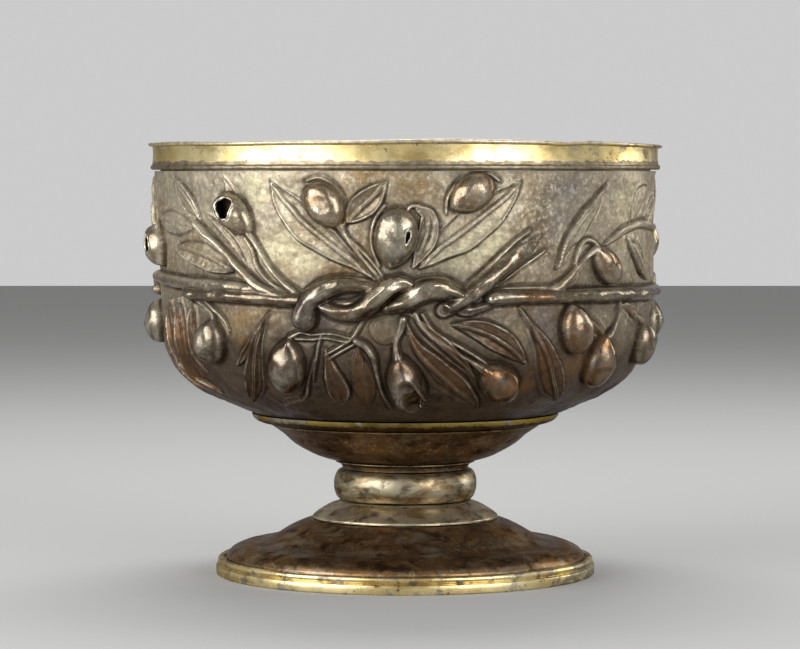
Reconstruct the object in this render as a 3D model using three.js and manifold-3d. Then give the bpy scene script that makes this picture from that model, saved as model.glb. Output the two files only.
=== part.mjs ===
// A footed silver drinking cup of Roman type: a plain liner inside a raised casing with olive boughs,
// held together by a gilded rim band, on a turned stem and foot whose pieces are soldered one on another.
// Sizes are in millimetres, +Z is up, and the origin is on the table under the middle of the foot.

import * as THREE from "three";
import { mergeVertices } from "three/addons/utils/BufferGeometryUtils.js";
import Module from "manifold-3d";

const wasm = await Module();
wasm.setup();

// Joints and sheet
const seam = 0.3; // solder joint between two neighbouring pieces
const sheet = 1; // silver sheet of the raised casing
const footSheet = 1.3; // sheet of the dish, knop, cone and dome

// Stem
const stemBore = 12;
const stemWall = 3.3; // from the bore to the waist of the collar
const collarFlare = 1.8;
const collarWaistRadius = stemBore + stemWall;
const collarTopRadius = collarWaistRadius + collarFlare;
const collarHeight = 1.9;
const knopEndWidth = 3.8; // of the flat rings at its two ends
const knopEndRadius = stemBore + knopEndWidth;
const knopBulge = 1.95;
const knopHeight = 7.3;

// Foot cone and dome
const coneTopWidth = 4.1;
const coneSpread = 6.6;
const coneTopRadius = stemBore + coneTopWidth;
const coneFootRadius = coneTopRadius + coneSpread;
const coneRise = 4.2;
const coneSeat = 3.7; // width of the dome's top under the cone
const coneStep = 0.6; // and outside it
const domeSpread = 20.7;
const domeOpening = coneFootRadius - coneSeat;
const domeTopRadius = coneFootRadius + coneStep;
const domeEdgeRadius = domeTopRadius + domeSpread;
const domeRise = 9.4;

// Foot rim, a heavy gilded ring that stands on the table and carries the dome on an inner ledge
const rimShoulder = 2; // width of the ring outside the dome
const rimLedgeWidth = 2.7;
const rimLedge = 3.55;
const rimBandHeight = 2.5;
const rimGroove = 0.8; // depth of the groove between the band and the bead
const rimBeadRadius = 0.85;

// Dish and gilded fillet under the bowl
const dishStep = 0.5; // the dish's neck outside the collar, and the fillet outside the dish
const dishSpread = 15.8;
const dishNeckRadius = collarTopRadius + dishStep;
const dishLipRadius = dishNeckRadius + dishSpread;
const dishRise = 8.8;
const filletSeat = 4.4; // width of the fillet over the dish's lip
const filletRound = 3.7;
const filletBore = dishLipRadius - filletSeat;
const filletFootRadius = dishLipRadius + dishStep;
const filletTopRadius = filletFootRadius + filletRound;
const filletHeight = 2.35;

// Bowl: a floor, a sloping base, a rounded knee and a nearly upright wall
const floorStep = 0.2; // the floor's edge inside the fillet's
const baseSpread = 21.4;
const wallFlare = 2.2;
const floorRadius = filletTopRadius - floorStep;
const kneeRadius = floorRadius + baseSpread;
const kneeRise = 8.8;
const kneeRound = 19;
const wallTopRadius = kneeRadius + wallFlare;
const wallRise = 49.7;
const linerGap = 0.4; // between the casing and the liner
const linerWall = 1.2;

// Rim band and lip
const bandHeight = 7;
const bandProud = 0.85; // how far the band stands out from the wall
const bandRadius = wallTopRadius + bandProud;
const bandHollow = 0.45; // how far the face of the band is drawn in
const bandBead = 0.6; // radius of the bead at the foot of the band
const lipProud = 0.65; // and the lip from the band
const lipRadius = bandRadius + lipProud;
const lipThickness = 1;
const lipRound = 0.3;

// Relief. The lists of the branches give shares of these sizes.
const reliefRoot = 0.6; // how deep each raised form is rooted in the sheet
const leafWidth = 7;
const leafRib = 1.8; // height of a leaf's midrib over the wall
const leafRoot = 0.4; // a leaf's edges, under the face of the wall
const leafPoint = 0.06; // width of a leaf's ends, as a share of its width
const leafEnd = 0.45; // height of a leaf's ends, as a share of its rib
const leafFullness = 0.8; // below 1, a leaf is widest nearer its stem
const oliveWidth = 8.6;
const oliveRise = 4.2;
const oliveSheet = 0.8; // sheet left where an olive is hammered up hollow
const boughRadius = 1.6;
const twigRadius = 0.75;

// Facets
const bowlFacets = 36;
const stemFacets = 24;
const footFacets = 32;
const kneeFacets = 3;
const leafSteps = 3;
const twigSides = 3;
const boughSides = 5;
const oliveSides = 6;
const oliveRings = 4;

// Heights of the stack, from the table up
const domeFoot = rimLedge + seam;
const domeTop = domeFoot + domeRise;
const coneFoot = domeTop + seam;
const coneTop = coneFoot + coneRise;
const knopFoot = coneTop + seam;
const knopTop = knopFoot + knopHeight;
const collarFoot = knopTop + seam;
const collarTop = collarFoot + collarHeight;
const dishFoot = collarTop + seam;
const dishTop = dishFoot + dishRise;
const filletFoot = dishTop + seam;
const filletTop = filletFoot + filletHeight;
const floorHeight = filletTop + seam;
const kneeHeight = floorHeight + kneeRise;
const wallTop = kneeHeight + wallRise;
const bandFoot = wallTop + seam;
const lipTop = bandFoot + bandHeight;
const lipFoot = lipTop - lipThickness;
const linerTop = lipFoot - seam;

const plateSlope = 1e-6; // an edge no steeper than this is level

const at = (radius, height) => new THREE.Vector2(radius, height);

// Points on a smooth curve whose shape is given as shares of the way from one corner to another
function shapedCurve(from, to, shares, steps) {
  const points = shares.map(([width, rise]) =>
    at(from.x + (to.x - from.x) * width, from.y + (to.y - from.y) * rise));
  return new THREE.SplineCurve(points).getPoints(steps);
}

// A point of an ellipse's outline, with the angle in quarter turns from the outside
function ellipsePoint(centre, wide, high, quarters) {
  const angle = quarters * Math.PI / 2;
  return at(centre.x + wide * Math.cos(angle), centre.y + high * Math.sin(angle));
}

// The same outline moved to its left by one thickness. An end on a level plate is cut upright, as at a
// bore, and any other end is cut level, as at a rim.
function offsetOutline(outline, thickness) {
  const sides = [];
  for (let i = 0; i + 1 < outline.length; i += 1) {
    const along = outline[i + 1].clone().sub(outline[i]).normalize();
    sides.push(at(-along.y, along.x));
  }
  return outline.map((point, i) => {
    const before = sides[Math.max(i - 1, 0)];
    const after = sides[Math.min(i, sides.length - 1)];
    const middle = before.clone().add(after);
    const moved = point.clone().addScaledVector(middle, 2 * thickness / middle.lengthSq());
    const atEnd = i === 0 || i === outline.length - 1;
    if (!atEnd) return moved;
    const along = at(after.y, -after.x);
    const onPlate = Math.abs(along.y) < plateSlope;
    const slide = onPlate ? (point.x - moved.x) / along.x : (point.y - moved.y) / along.y;
    return moved.addScaledVector(along, slide);
  });
}

// Merges shared corners and drops the empty triangles that lie on an axis
function merged(geometry) {
  geometry.deleteAttribute("normal");
  geometry.deleteAttribute("uv");
  const joined = mergeVertices(geometry);
  const corners = Array.from(joined.index.array);
  const kept = [];
  for (let i = 0; i < corners.length; i += 3) {
    const [a, b, c] = corners.slice(i, i + 3);
    if (a !== b && b !== c && c !== a) kept.push(a, b, c);
  }
  joined.setIndex(kept);
  return joined;
}

// A closed outline turned round the cup's axis
function turned(outline, facets) {
  const geometry = new THREE.LatheGeometry(outline, facets);
  geometry.rotateX(Math.PI / 2);
  return merged(geometry);
}

// Sheet metal turned round the axis, from the outline of its outside, which runs upwards
function turnedSheet(outline, thickness, facets) {
  const inside = offsetOutline(outline, thickness).reverse();
  const onAxis = outline[0].x === 0;
  const closing = onAxis ? [] : [outline[0].clone()];
  return turned([...outline, ...inside, ...closing], facets);
}

// The outside of the bowl, moved in by a distance, from the axis out and up to a given height
function bowlOutline(inset, top) {
  const knee = at(kneeRadius, kneeHeight);
  const wall = at(wallTopRadius, wallTop).sub(knee).normalize();
  const base = at(floorRadius, floorHeight).sub(knee).normalize();
  const halfTurn = wall.angleTo(base) / 2;
  const start = knee.clone().addScaledVector(base, kneeRound / Math.tan(halfTurn));
  const centre = start.clone().add(at(base.y, -base.x).multiplyScalar(kneeRound));
  const firstAngle = start.clone().sub(centre).angle() - 2 * Math.PI;
  const sweep = Math.PI - 2 * halfTurn;
  const outline = [at(0, floorHeight), at(floorRadius, floorHeight)];
  for (let i = 0; i <= kneeFacets; i += 1) {
    const angle = firstAngle + sweep * i / kneeFacets;
    outline.push(at(centre.x + kneeRound * Math.cos(angle), centre.y + kneeRound * Math.sin(angle)));
  }
  outline.push(knee.clone().addScaledVector(wall, (wallTop - kneeHeight) / wall.y));
  const moved = inset === 0 ? outline : offsetOutline(outline, inset);
  const last = moved[moved.length - 1];
  last.addScaledVector(wall, (top - last.y) / wall.y);
  return moved;
}

// Solids for joining and cutting
function toSolid(geometry) {
  const clean = merged(geometry);
  return new wasm.Manifold(new wasm.Mesh({
    numProp: 3,
    vertProperties: new Float32Array(clean.attributes.position.array),
    triVerts: new Uint32Array(clean.index.array),
  }));
}

function fromSolid(solid) {
  const mesh = solid.getMesh();
  const geometry = new THREE.BufferGeometry();
  geometry.setAttribute("position", new THREE.BufferAttribute(mesh.vertProperties, 3));
  geometry.setIndex(new THREE.BufferAttribute(mesh.triVerts, 1));
  return geometry;
}

// The wall that carries the relief, walked from the band down to the edge of the floor
const wallWalk = bowlOutline(0, wallTop).slice(1).reverse();
const wallSteps = [0];
for (let i = 1; i < wallWalk.length; i += 1) {
  wallSteps.push(wallSteps[i - 1] + wallWalk[i].distanceTo(wallWalk[i - 1]));
}
const wallLength = wallSteps[wallSteps.length - 1];

// Radius, height and outward direction of the wall at a distance down from the band
function wallAt(distance) {
  const walked = THREE.MathUtils.clamp(distance, 0, wallLength);
  let i = 1;
  while (i < wallSteps.length - 1 && walked > wallSteps[i]) i += 1;
  const share = (walked - wallSteps[i - 1]) / (wallSteps[i] - wallSteps[i - 1]);
  const along = wallWalk[i].clone().sub(wallWalk[i - 1]).normalize();
  return { point: wallWalk[i - 1].clone().lerp(wallWalk[i], share), out: at(-along.y, along.x) };
}

// A place on the wall is [degrees to the right of the front, percent of the way down]
function wallPlace([degrees, percent], turn) {
  return { angle: THREE.MathUtils.degToRad(degrees + turn), down: percent / 100 * wallLength };
}

function wallPoint({ angle, down }, lift) {
  const { point, out } = wallAt(down);
  const radius = point.x + out.x * lift;
  return new THREE.Vector3(radius * Math.sin(angle), -radius * Math.cos(angle), point.y + out.y * lift);
}

function wallNormal(place) {
  return wallPoint(place, 1).sub(wallPoint(place, 0)).normalize();
}

// A closed skin over a row of rings that have the same number of points
function loft(rings) {
  const count = rings[0].length;
  const corners = [];
  for (let i = 0; i + 1 < rings.length; i += 1) {
    for (let j = 0; j < count; j += 1) {
      const next = (j + 1) % count;
      corners.push(rings[i][j], rings[i + 1][j], rings[i][next]);
      corners.push(rings[i][next], rings[i + 1][j], rings[i + 1][next]);
    }
  }
  const last = rings[rings.length - 1];
  for (let j = 1; j + 1 < count; j += 1) {
    corners.push(rings[0][0], rings[0][j], rings[0][j + 1]);
    corners.push(last[0], last[j + 1], last[j]);
  }
  return new THREE.BufferGeometry().setFromPoints(corners);
}

// An olive leaf: two blades that rise from the wall and meet in a keen midrib along a curve of places
function leafSolid({ rib, width }, turn) {
  const line = new THREE.SplineCurve(rib.map(([degrees, percent]) => at(degrees, percent)));
  const rings = [];
  for (let i = 0; i <= leafSteps; i += 1) {
    const share = i / leafSteps;
    const here = line.getPoint(share);
    const ahead = line.getTangent(share);
    const { angle, down } = wallPlace([here.x, here.y], turn);
    const radius = wallAt(down).point.x;
    const across = THREE.MathUtils.degToRad(ahead.x) * radius;
    const direction = at(across, ahead.y / 100 * wallLength).normalize();
    const swell = leafPoint + (1 - leafPoint) * Math.sin(Math.PI * share ** leafFullness);
    const half = width * leafWidth / 2 * swell;
    const height = leafRib * (leafEnd + (1 - leafEnd) * Math.sin(Math.PI * share));
    const corner = (side, lift) => {
      const offset = side * half;
      const place = { angle: angle + offset * direction.y / radius, down: down - offset * direction.x };
      return wallPoint(place, lift);
    };
    rings.push([corner(-1, -leafRoot), corner(0, height), corner(1, -leafRoot)]);
  }
  return toSolid(loft(rings));
}

// A bough, twig or stalk: a round rod laid along the wall, which may pass over another
function rodSolid({ path, radius, sides, steps }, turn) {
  const points = path.map(([degrees, percent, over = 0]) =>
    wallPoint(wallPlace([degrees, percent], turn), radius - reliefRoot + over * boughRadius));
  const section = new THREE.Shape();
  section.absarc(0, 0, radius, 0, 2 * Math.PI);
  const ring = section.getPoints(sides).slice(0, -1).filter((_, i) => i % 2 === 0);
  return toSolid(new THREE.ExtrudeGeometry(new THREE.Shape(ring), {
    steps,
    bevelEnabled: false,
    extrudePath: new THREE.CatmullRomCurve3(points),
  }));
}

// The frame of an olive: its long axis lies along the wall, and its third axis points out of it
function oliveFrame({ stem, tip }, turn) {
  const from = wallPlace(stem, turn);
  const to = wallPlace(tip, turn);
  const middle = { angle: (from.angle + to.angle) / 2, down: (from.down + to.down) / 2 };
  const normal = wallNormal(middle);
  const along = wallPoint(to, 0).sub(wallPoint(from, 0));
  const length = along.length();
  along.addScaledVector(normal, -along.dot(normal)).normalize();
  const across = along.clone().cross(normal);
  const matrix = new THREE.Matrix4().makeBasis(across, along, normal);
  matrix.setPosition(wallPoint(middle, 0));
  return { matrix, length };
}

// An egg shape inside an olive's frame, smaller all round by a margin
function oliveEgg(olive, turn, margin) {
  const { matrix, length } = oliveFrame(olive, turn);
  const egg = new THREE.SphereGeometry(1, oliveSides, oliveRings);
  const rise = olive.rise * oliveRise - margin;
  egg.scale(olive.width * oliveWidth / 2 - margin, length / 2 - margin, rise);
  egg.applyMatrix4(matrix);
  return toSolid(egg);
}

// A ragged hole worn through an olive's top. All its sizes are shares of the olive's.
function tearSolid(olive, turn, { across, along, wide, long }) {
  const { matrix, length } = oliveFrame(olive, turn);
  const halfWidth = olive.width * oliveWidth / 2;
  const top = olive.rise * oliveRise * Math.sqrt(1 - across ** 2 - along ** 2);
  const hole = new THREE.IcosahedronGeometry(1, 0);
  hole.scale(wide * halfWidth, long * length / 2, 2 * oliveSheet);
  hole.translate(across * halfWidth, along * length / 2, top);
  hole.applyMatrix4(matrix);
  return toSolid(hole);
}

// The olives of one side, from left to right
const olives = [
  { stem: [-74, 32], tip: [-80, 19], width: 1.1, rise: 1.1,
    tear: { across: -0.3, along: 0.2, wide: 0.32, long: 0.52 } },
  { stem: [-84, 44], tip: [-86, 59], width: 1.1, rise: 1.14 },
  { stem: [-46, 50], tip: [-50, 63], width: 0.95, rise: 1.05 },
  { stem: [-35, 20], tip: [-45, 9], width: 0.92, rise: 0.9,
    tear: { across: -0.1, along: 0.35, wide: 0.56, long: 0.5 } },
  { stem: [-26, 55], tip: [-29, 71], width: 0.98, rise: 1 },
  { stem: [-14, 18], tip: [-21, 5], width: 1, rise: 1 },
  { stem: [-3, 31], tip: [-1, 12], width: 1.14, rise: 1.05,
    tear: { across: 0.4, along: 0.3, wide: 0.18, long: 0.26 } },
  { stem: [-2, 60], tip: [1, 80], width: 1, rise: 1,
    tear: { across: 0.55, along: 0.45, wide: 0.24, long: 0.28 } },
  { stem: [10, 12], tip: [18, 3], width: 0.94, rise: 0.95 },
  { stem: [18, 63], tip: [27, 76], width: 1, rise: 1 },
  { stem: [38, 43], tip: [41, 59], width: 0.98, rise: 1 },
  { stem: [46, 26], tip: [55, 36], width: 0.8, rise: 0.88 },
  { stem: [49, 54], tip: [52, 72], width: 0.98, rise: 1.02 },
  { stem: [74, 51], tip: [78, 65], width: 1.03, rise: 1.05 },
];

// The leaves of one side, from left to right, each with its rib from the stem to the tip
const leaves = [
  { rib: [[-80, 22], [-82, 15], [-84, 8]], width: 0.7 },
  { rib: [[-52, 17], [-56, 11], [-62, 4]], width: 0.85 },
  { rib: [[-53, 18], [-67, 16], [-77, 16]], width: 1 },
  { rib: [[-41, 32], [-51, 27], [-66, 25]], width: 1.1 },
  { rib: [[-37, 31], [-44, 21], [-50, 14]], width: 0.55 },
  { rib: [[-38, 21], [-42, 11], [-43, 4]], width: 1.1 },
  { rib: [[-68, 44], [-72, 56], [-74, 68]], width: 0.5 },
  { rib: [[-61, 43], [-63, 60], [-61, 75]], width: 0.65 },
  { rib: [[-56, 43], [-58, 55], [-57, 67]], width: 0.5 },
  { rib: [[-71, 61], [-65, 72], [-56, 78]], width: 0.75 },
  { rib: [[-32, 48], [-36, 62], [-45, 82]], width: 0.55 },
  { rib: [[-6, 35], [-18, 21], [-30, 4]], width: 1.05 },
  { rib: [[-12, 16], [-8, 10], [-4, 4]], width: 0.8 },
  { rib: [[-18, 58], [-17, 70], [-17, 82]], width: 0.7 },
  { rib: [[-10, 56], [-9, 70], [-10, 85]], width: 1 },
  { rib: [[2, 31], [5, 20], [2, 12]], width: 0.6 },
  { rib: [[3, 31], [14, 17], [25, 4]], width: 1.2 },
  { rib: [[0, 49], [5, 63], [20, 84]], width: 0.9 },
  { rib: [[1, 46], [8, 57], [16, 68]], width: 0.5 },
  { rib: [[10, 50], [18, 54], [28, 63]], width: 0.85 },
  { rib: [[25, 44], [33, 61], [44, 81]], width: 0.85 },
  { rib: [[41, 43], [48, 51], [53, 56]], width: 0.65 },
  { rib: [[35, 31], [42, 17], [50, 5]], width: 0.95 },
  { rib: [[58, 44], [62, 48], [67, 52]], width: 0.55 },
  { rib: [[60, 18], [66, 10], [71, 5]], width: 0.95 },
  { rib: [[70, 18], [74, 13], [77, 7]], width: 0.85 },
  { rib: [[60, 22], [67, 30], [73, 37]], width: 0.95 },
];

// The boughs of one side: a place on the wall, with a third number where a bough passes over another
const boughs = [
  { path: [[-90, 41], [-84, 36.5], [-73, 36.5], [-57, 37.5], [-35, 39]], radius: 0.8, steps: 5 },
  { path: [[-58, 41], [-42, 41], [-25, 42]], radius: 1, steps: 3 },
  { path: [[-53, 18], [-40, 31], [-25, 41]], radius: 0.7, steps: 3 },
  { path: [[-22, 49, 0.2], [-22, 44, 0.4], [-20, 38, 0.5], [-14, 36, 0.1], [-6, 38]], radius: 1.3, steps: 6 },
  { path: [[-18, 42], [-14, 45, 0.2], [-9, 41, 0.7], [-5, 37, 0.8], [2, 40]], radius: 1.15, steps: 6 },
  { path: [[-7, 45], [-1, 41, 0.5], [4, 38, 0.7], [14, 41]], radius: 1.1, steps: 5 },
  { path: [[8, 45, 0.2], [18, 34, 0.2], [29, 21]], radius: 1.2, steps: 4 },
  { path: [[15, 42], [28, 41], [60, 41], [92, 41]], radius: 1.05, steps: 7 },
];

// Twigs and the stalks that the olives hang on
const twigs = [
  { path: [[-36, 20], [-33, 28], [-26, 38]], steps: 3 },
  { path: [[-14, 18], [-6, 34]], steps: 1 },
  { path: [[33, 37], [40, 32], [47, 26]], steps: 3 },
  { path: [[53, 22], [62, 18], [85, 20]], steps: 3 },
  { path: [[-55, 42], [-49, 48]], steps: 1 },
  { path: [[-9, 46], [-11, 53], [-16, 54], [-26, 55]], steps: 4 },
  { path: [[0, 46], [-2, 61]], steps: 2 },
  { path: [[2, 45], [6, 54], [18, 65]], steps: 3 },
  { path: [[57, 42], [56, 49], [51, 55]], steps: 2 },
  { path: [[60, 42], [66, 49], [75, 52]], steps: 2 },
];

// The back has the same branches as the front
const front = 0;
const back = 180;

function reliefCasing() {
  const outside = [...bowlOutline(0, wallTop), at(0, wallTop)];
  let casing = toSolid(turned(outside, bowlFacets));
  for (const turn of [front, back]) {
    for (const leaf of leaves) casing = casing.add(leafSolid(leaf, turn));
    for (const bough of boughs) {
      const radius = bough.radius * boughRadius;
      casing = casing.add(rodSolid({ ...bough, radius, sides: boughSides }, turn));
    }
    for (const twig of twigs) {
      casing = casing.add(rodSolid({ ...twig, radius: twigRadius, sides: twigSides }, turn));
    }
    for (const olive of olives) casing = casing.add(oliveEgg(olive, turn, 0));
  }
  const above = wallTop + seam;
  const inside = [...bowlOutline(sheet, above), at(0, above)];
  casing = casing.subtract(toSolid(turned(inside, bowlFacets)));
  for (const turn of [front, back]) {
    for (const olive of olives.filter(({ tear }) => tear)) {
      casing = casing.subtract(oliveEgg(olive, turn, oliveSheet));
      casing = casing.subtract(tearSolid(olive, turn, olive.tear));
    }
  }
  return fromSolid(casing);
}

function linerBowl() {
  return turnedSheet(bowlOutline(sheet + linerGap, linerTop), linerWall, bowlFacets);
}

// The band sits on the casing, rings the liner and closes over its edge with the lip
function rimBand() {
  const linerOutside = bowlOutline(sheet + linerGap, linerTop).pop().x;
  const bore = linerOutside + seam;
  const mouth = linerOutside - linerWall;
  const beadTop = bandFoot + 2 * bandBead;
  const faceMiddle = (beadTop + lipFoot) / 2;
  const face = new THREE.SplineCurve([
    at(bandRadius, beadTop),
    at(bandRadius - bandHollow, faceMiddle),
    at(bandRadius, lipFoot),
  ]).getPoints(3);
  const beadCentre = at(bandRadius - bandBead / 2, bandFoot + bandBead);
  const bead = [-0.6, 0.6].map((quarters) => ellipsePoint(beadCentre, bandBead, bandBead, quarters));
  return turned([
    at(bore, bandFoot), at(beadCentre.x, bandFoot), ...bead, ...face,
    at(lipRadius, lipFoot), at(lipRadius, lipTop - lipRound), at(lipRadius - lipRound, lipTop),
    at(mouth, lipTop), at(mouth, lipFoot), at(bore, lipFoot), at(bore, bandFoot),
  ], bowlFacets);
}

// A quarter-round moulding under the edge of the casing's floor
function giltFillet() {
  const centre = at(filletFootRadius, filletTop);
  const wide = filletTopRadius - filletFootRadius;
  const round = [-1, -0.75, -0.5, -0.25, 0].map((quarters) =>
    ellipsePoint(centre, wide, filletHeight, quarters));
  return turned([
    at(filletBore, filletFoot), ...round, at(filletBore, filletTop), at(filletBore, filletFoot),
  ], stemFacets);
}

function baseDish() {
  const side = shapedCurve(at(dishNeckRadius, dishFoot), at(dishLipRadius, dishTop),
    [[0, 0], [0.3, 0.14], [0.59, 0.44], [0.77, 0.73], [1, 1]], 4);
  return turnedSheet([at(0, dishFoot), ...side], footSheet, stemFacets);
}

function neckCollar() {
  const side = shapedCurve(at(collarWaistRadius, collarFoot), at(collarTopRadius, collarTop),
    [[0, 0], [0.25, 0.5], [1, 1]], 2);
  return turned([
    at(stemBore, collarFoot), ...side, at(stemBore, collarTop), at(stemBore, collarFoot),
  ], stemFacets);
}

// A hollow swelling bead, open to the inside of the stem
function stemKnop() {
  const centre = at(knopEndRadius, (knopFoot + knopTop) / 2);
  const round = [-1, -0.55, 0, 0.55, 1].map((quarters) =>
    ellipsePoint(centre, knopBulge, knopHeight / 2, quarters));
  return turnedSheet([at(stemBore, knopFoot), ...round, at(stemBore, knopTop)], footSheet, stemFacets);
}

function footCone() {
  const side = shapedCurve(at(coneFootRadius, coneFoot), at(coneTopRadius, coneTop),
    [[0, 0], [0.29, 0.43], [0.64, 0.76], [1, 1]], 3);
  return turnedSheet([...side, at(stemBore, coneTop)], footSheet, stemFacets);
}

function footDome() {
  const side = shapedCurve(at(domeEdgeRadius, domeFoot), at(domeTopRadius, domeTop),
    [[0, 0], [0.05, 0.14], [0.23, 0.36], [0.39, 0.39], [0.5, 0.46], [0.76, 0.78], [1, 1]], 6);
  return turnedSheet([...side, at(domeOpening, domeTop)], footSheet, footFacets);
}

function footRim() {
  const notch = domeEdgeRadius + seam;
  const rimRadius = notch + rimShoulder;
  const rimBore = domeEdgeRadius - rimLedgeWidth;
  const beadCentre = at(rimRadius - rimGroove / 2 - rimBeadRadius, rimBandHeight + rimBeadRadius);
  const bead = [-0.6, 0, 0.6, 1].map((quarters) =>
    ellipsePoint(beadCentre, rimBeadRadius, rimBeadRadius, quarters));
  return turned([
    at(rimBore, 0), at(rimRadius, 0), at(rimRadius, rimBandHeight - rimGroove / 2),
    at(rimRadius - rimGroove, rimBandHeight), ...bead,
    at(notch, rimLedge + seam), at(notch, rimLedge), at(rimBore, rimLedge), at(rimBore, 0),
  ], footFacets);
}

// Finishes
const silver = { color: 0xb9b2a2, roughness: 0.34, metalness: 1 };
const tarnishedSilver = { color: 0x94887a, roughness: 0.42, metalness: 1 };
const darkSilver = { color: 0x5f5349, roughness: 0.46, metalness: 1 };
const gilding = { color: 0xc3a052, roughness: 0.32, metalness: 1 };

const cup = new THREE.Group();

function addPiece(name, geometry, finish) {
  geometry.computeVertexNormals();
  const piece = new THREE.Mesh(geometry, new THREE.MeshStandardMaterial(finish));
  piece.name = name;
  cup.add(piece);
}

addPiece("liner_bowl", linerBowl(), silver);
addPiece("rim_band", rimBand(), gilding);
addPiece("relief_casing", reliefCasing(), tarnishedSilver);
addPiece("gilt_fillet", giltFillet(), gilding);
addPiece("base_dish", baseDish(), darkSilver);
addPiece("neck_collar", neckCollar(), darkSilver);
addPiece("stem_knop", stemKnop(), darkSilver);
addPiece("foot_cone", footCone(), darkSilver);
addPiece("foot_dome", footDome(), darkSilver);
addPiece("foot_rim", footRim(), gilding);

export default cup;
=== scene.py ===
"""A silver wine cup with olive branches in high relief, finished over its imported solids."""

import math

import bpy
import numpy as np
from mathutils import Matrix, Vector, noise


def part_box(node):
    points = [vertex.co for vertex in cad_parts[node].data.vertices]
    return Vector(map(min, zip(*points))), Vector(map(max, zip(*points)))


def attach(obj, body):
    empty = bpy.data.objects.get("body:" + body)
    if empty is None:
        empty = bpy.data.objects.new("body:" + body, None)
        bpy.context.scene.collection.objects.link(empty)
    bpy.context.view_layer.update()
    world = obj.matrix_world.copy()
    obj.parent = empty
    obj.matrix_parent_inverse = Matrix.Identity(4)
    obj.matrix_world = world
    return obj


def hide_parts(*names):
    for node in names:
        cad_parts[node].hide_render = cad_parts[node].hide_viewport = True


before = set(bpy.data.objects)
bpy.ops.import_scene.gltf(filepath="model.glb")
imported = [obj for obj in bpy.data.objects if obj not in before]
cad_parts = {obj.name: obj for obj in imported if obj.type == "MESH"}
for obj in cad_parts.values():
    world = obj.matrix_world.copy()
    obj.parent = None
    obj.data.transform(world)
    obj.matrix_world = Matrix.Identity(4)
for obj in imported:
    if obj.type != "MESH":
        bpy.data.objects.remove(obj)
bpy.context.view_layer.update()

# Sizes are in millimetres, and MM turns them into the scene's metres
MM = 0.001

# Outside of the casing, which carries the relief
FLOOR_RADIUS = 37.4
KNEE_RADIUS = 58.8
KNEE_RISE = 8.8
KNEE_ROUND = 19
WALL_TOP_RADIUS = 61
CASING_SHEET = 1

# How far to both sides the wall's slope is read
SLOPE_REACH = 0.8

# How many steps the turned pieces take round the cup
TURNS = 240


def node_heights(node):
    """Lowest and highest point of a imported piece, in millimetres"""
    low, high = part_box(node)
    return low[2] / MM, high[2] / MM


def node_radius(node):
    """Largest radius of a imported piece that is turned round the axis"""
    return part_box(node)[1][0] / MM


FLOOR_HEIGHT, WALL_TOP = node_heights("relief_casing")
CASING_REACH = np.array(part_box("relief_casing")[1][:2]) / MM


# Shapes in plain numbers

def smooth_path(places, steps):
    """Points on a smooth curve through the places, with the given number of steps between two of them"""
    row = np.array(places, float)
    row = np.vstack([2 * row[0] - row[1], row, 2 * row[-1] - row[-2]])
    points = []
    for i in range(1, len(row) - 2):
        before, here, there, after = row[i - 1:i + 3]
        for t in np.linspace(0, 1, steps, endpoint=False):
            points.append(0.5 * (2 * here + (there - before) * t
                                 + (2 * before - 5 * here + 4 * there - after) * t ** 2
                                 + (3 * here - before - 3 * there + after) * t ** 3))
    points.append(row[-2])
    return np.array(points)


def arc(centre, radius, start, end, steps):
    """Points of an arc, with angles in degrees from the outside, turning upwards"""
    angles = np.radians(np.linspace(start, end, steps + 1))
    return [(centre[0] + radius * math.cos(a), centre[1] + radius * math.sin(a)) for a in angles]


def wall_outline():
    """The outside of the casing from under the band to the edge of its floor, as (radius, height)"""
    top = Vector((WALL_TOP_RADIUS, WALL_TOP))
    knee = Vector((KNEE_RADIUS, FLOOR_HEIGHT + KNEE_RISE))
    edge = Vector((FLOOR_RADIUS, FLOOR_HEIGHT))
    up, inwards = (top - knee).normalized(), (edge - knee).normalized()
    reach = KNEE_ROUND / math.tan(up.angle(inwards) / 2)
    start, end = knee + up * reach, knee + inwards * reach
    centre = start + Vector((-up.y, up.x)) * KNEE_ROUND
    first = math.degrees(math.atan2(start.y - centre.y, start.x - centre.x))
    last = math.degrees(math.atan2(end.y - centre.y, end.x - centre.x))
    return np.array([tuple(top), *arc(centre, KNEE_ROUND, first, last, 24), tuple(edge)])


WALL = wall_outline()
WALL_STEPS = np.concatenate([[0], np.cumsum(np.linalg.norm(np.diff(WALL, axis=0), axis=1))])
WALL_LENGTH = WALL_STEPS[-1]


def wall_at(down):
    """Radius, height and outward direction of the wall at a distance down from the band"""
    walked = min(max(down, 0), WALL_LENGTH)
    radius, height = (np.interp(walked, WALL_STEPS, line) for line in WALL.T)
    ends = np.clip([walked - SLOPE_REACH, walked + SLOPE_REACH], 0, WALL_LENGTH)
    run, fall = (np.diff(np.interp(ends, WALL_STEPS, line))[0] for line in WALL.T)
    size = math.hypot(run, fall)
    return radius, height, -fall / size, run / size


def on_wall(degrees, down, lift=0.0):
    """A point over the wall: degrees to the right of the front, millimetres down, and lift in millimetres"""
    radius, height, out, up = wall_at(down)
    angle = math.radians(degrees)
    reach = radius + out * lift
    return Vector((reach * math.sin(angle), -reach * math.cos(angle), height + up * lift)) * MM


def percent(places):
    """Places written as [degrees, percent of the way down the wall, ...] with the percent as millimetres"""
    return [(place[0], place[1] / 100 * WALL_LENGTH, *place[2:]) for place in places]


# Modelling helpers

def deselect():
    bpy.ops.object.select_all(action="DESELECT")


def take(piece):
    """Makes a piece the only selected and active one"""
    deselect()
    bpy.context.view_layer.objects.active = piece
    piece.select_set(True)


def keep(name):
    """Names the active object and puts its place into its mesh"""
    piece = bpy.context.object
    piece.name = name
    piece.data.name = name
    bpy.ops.object.transform_apply(location=True, rotation=True, scale=True)
    return piece


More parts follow.
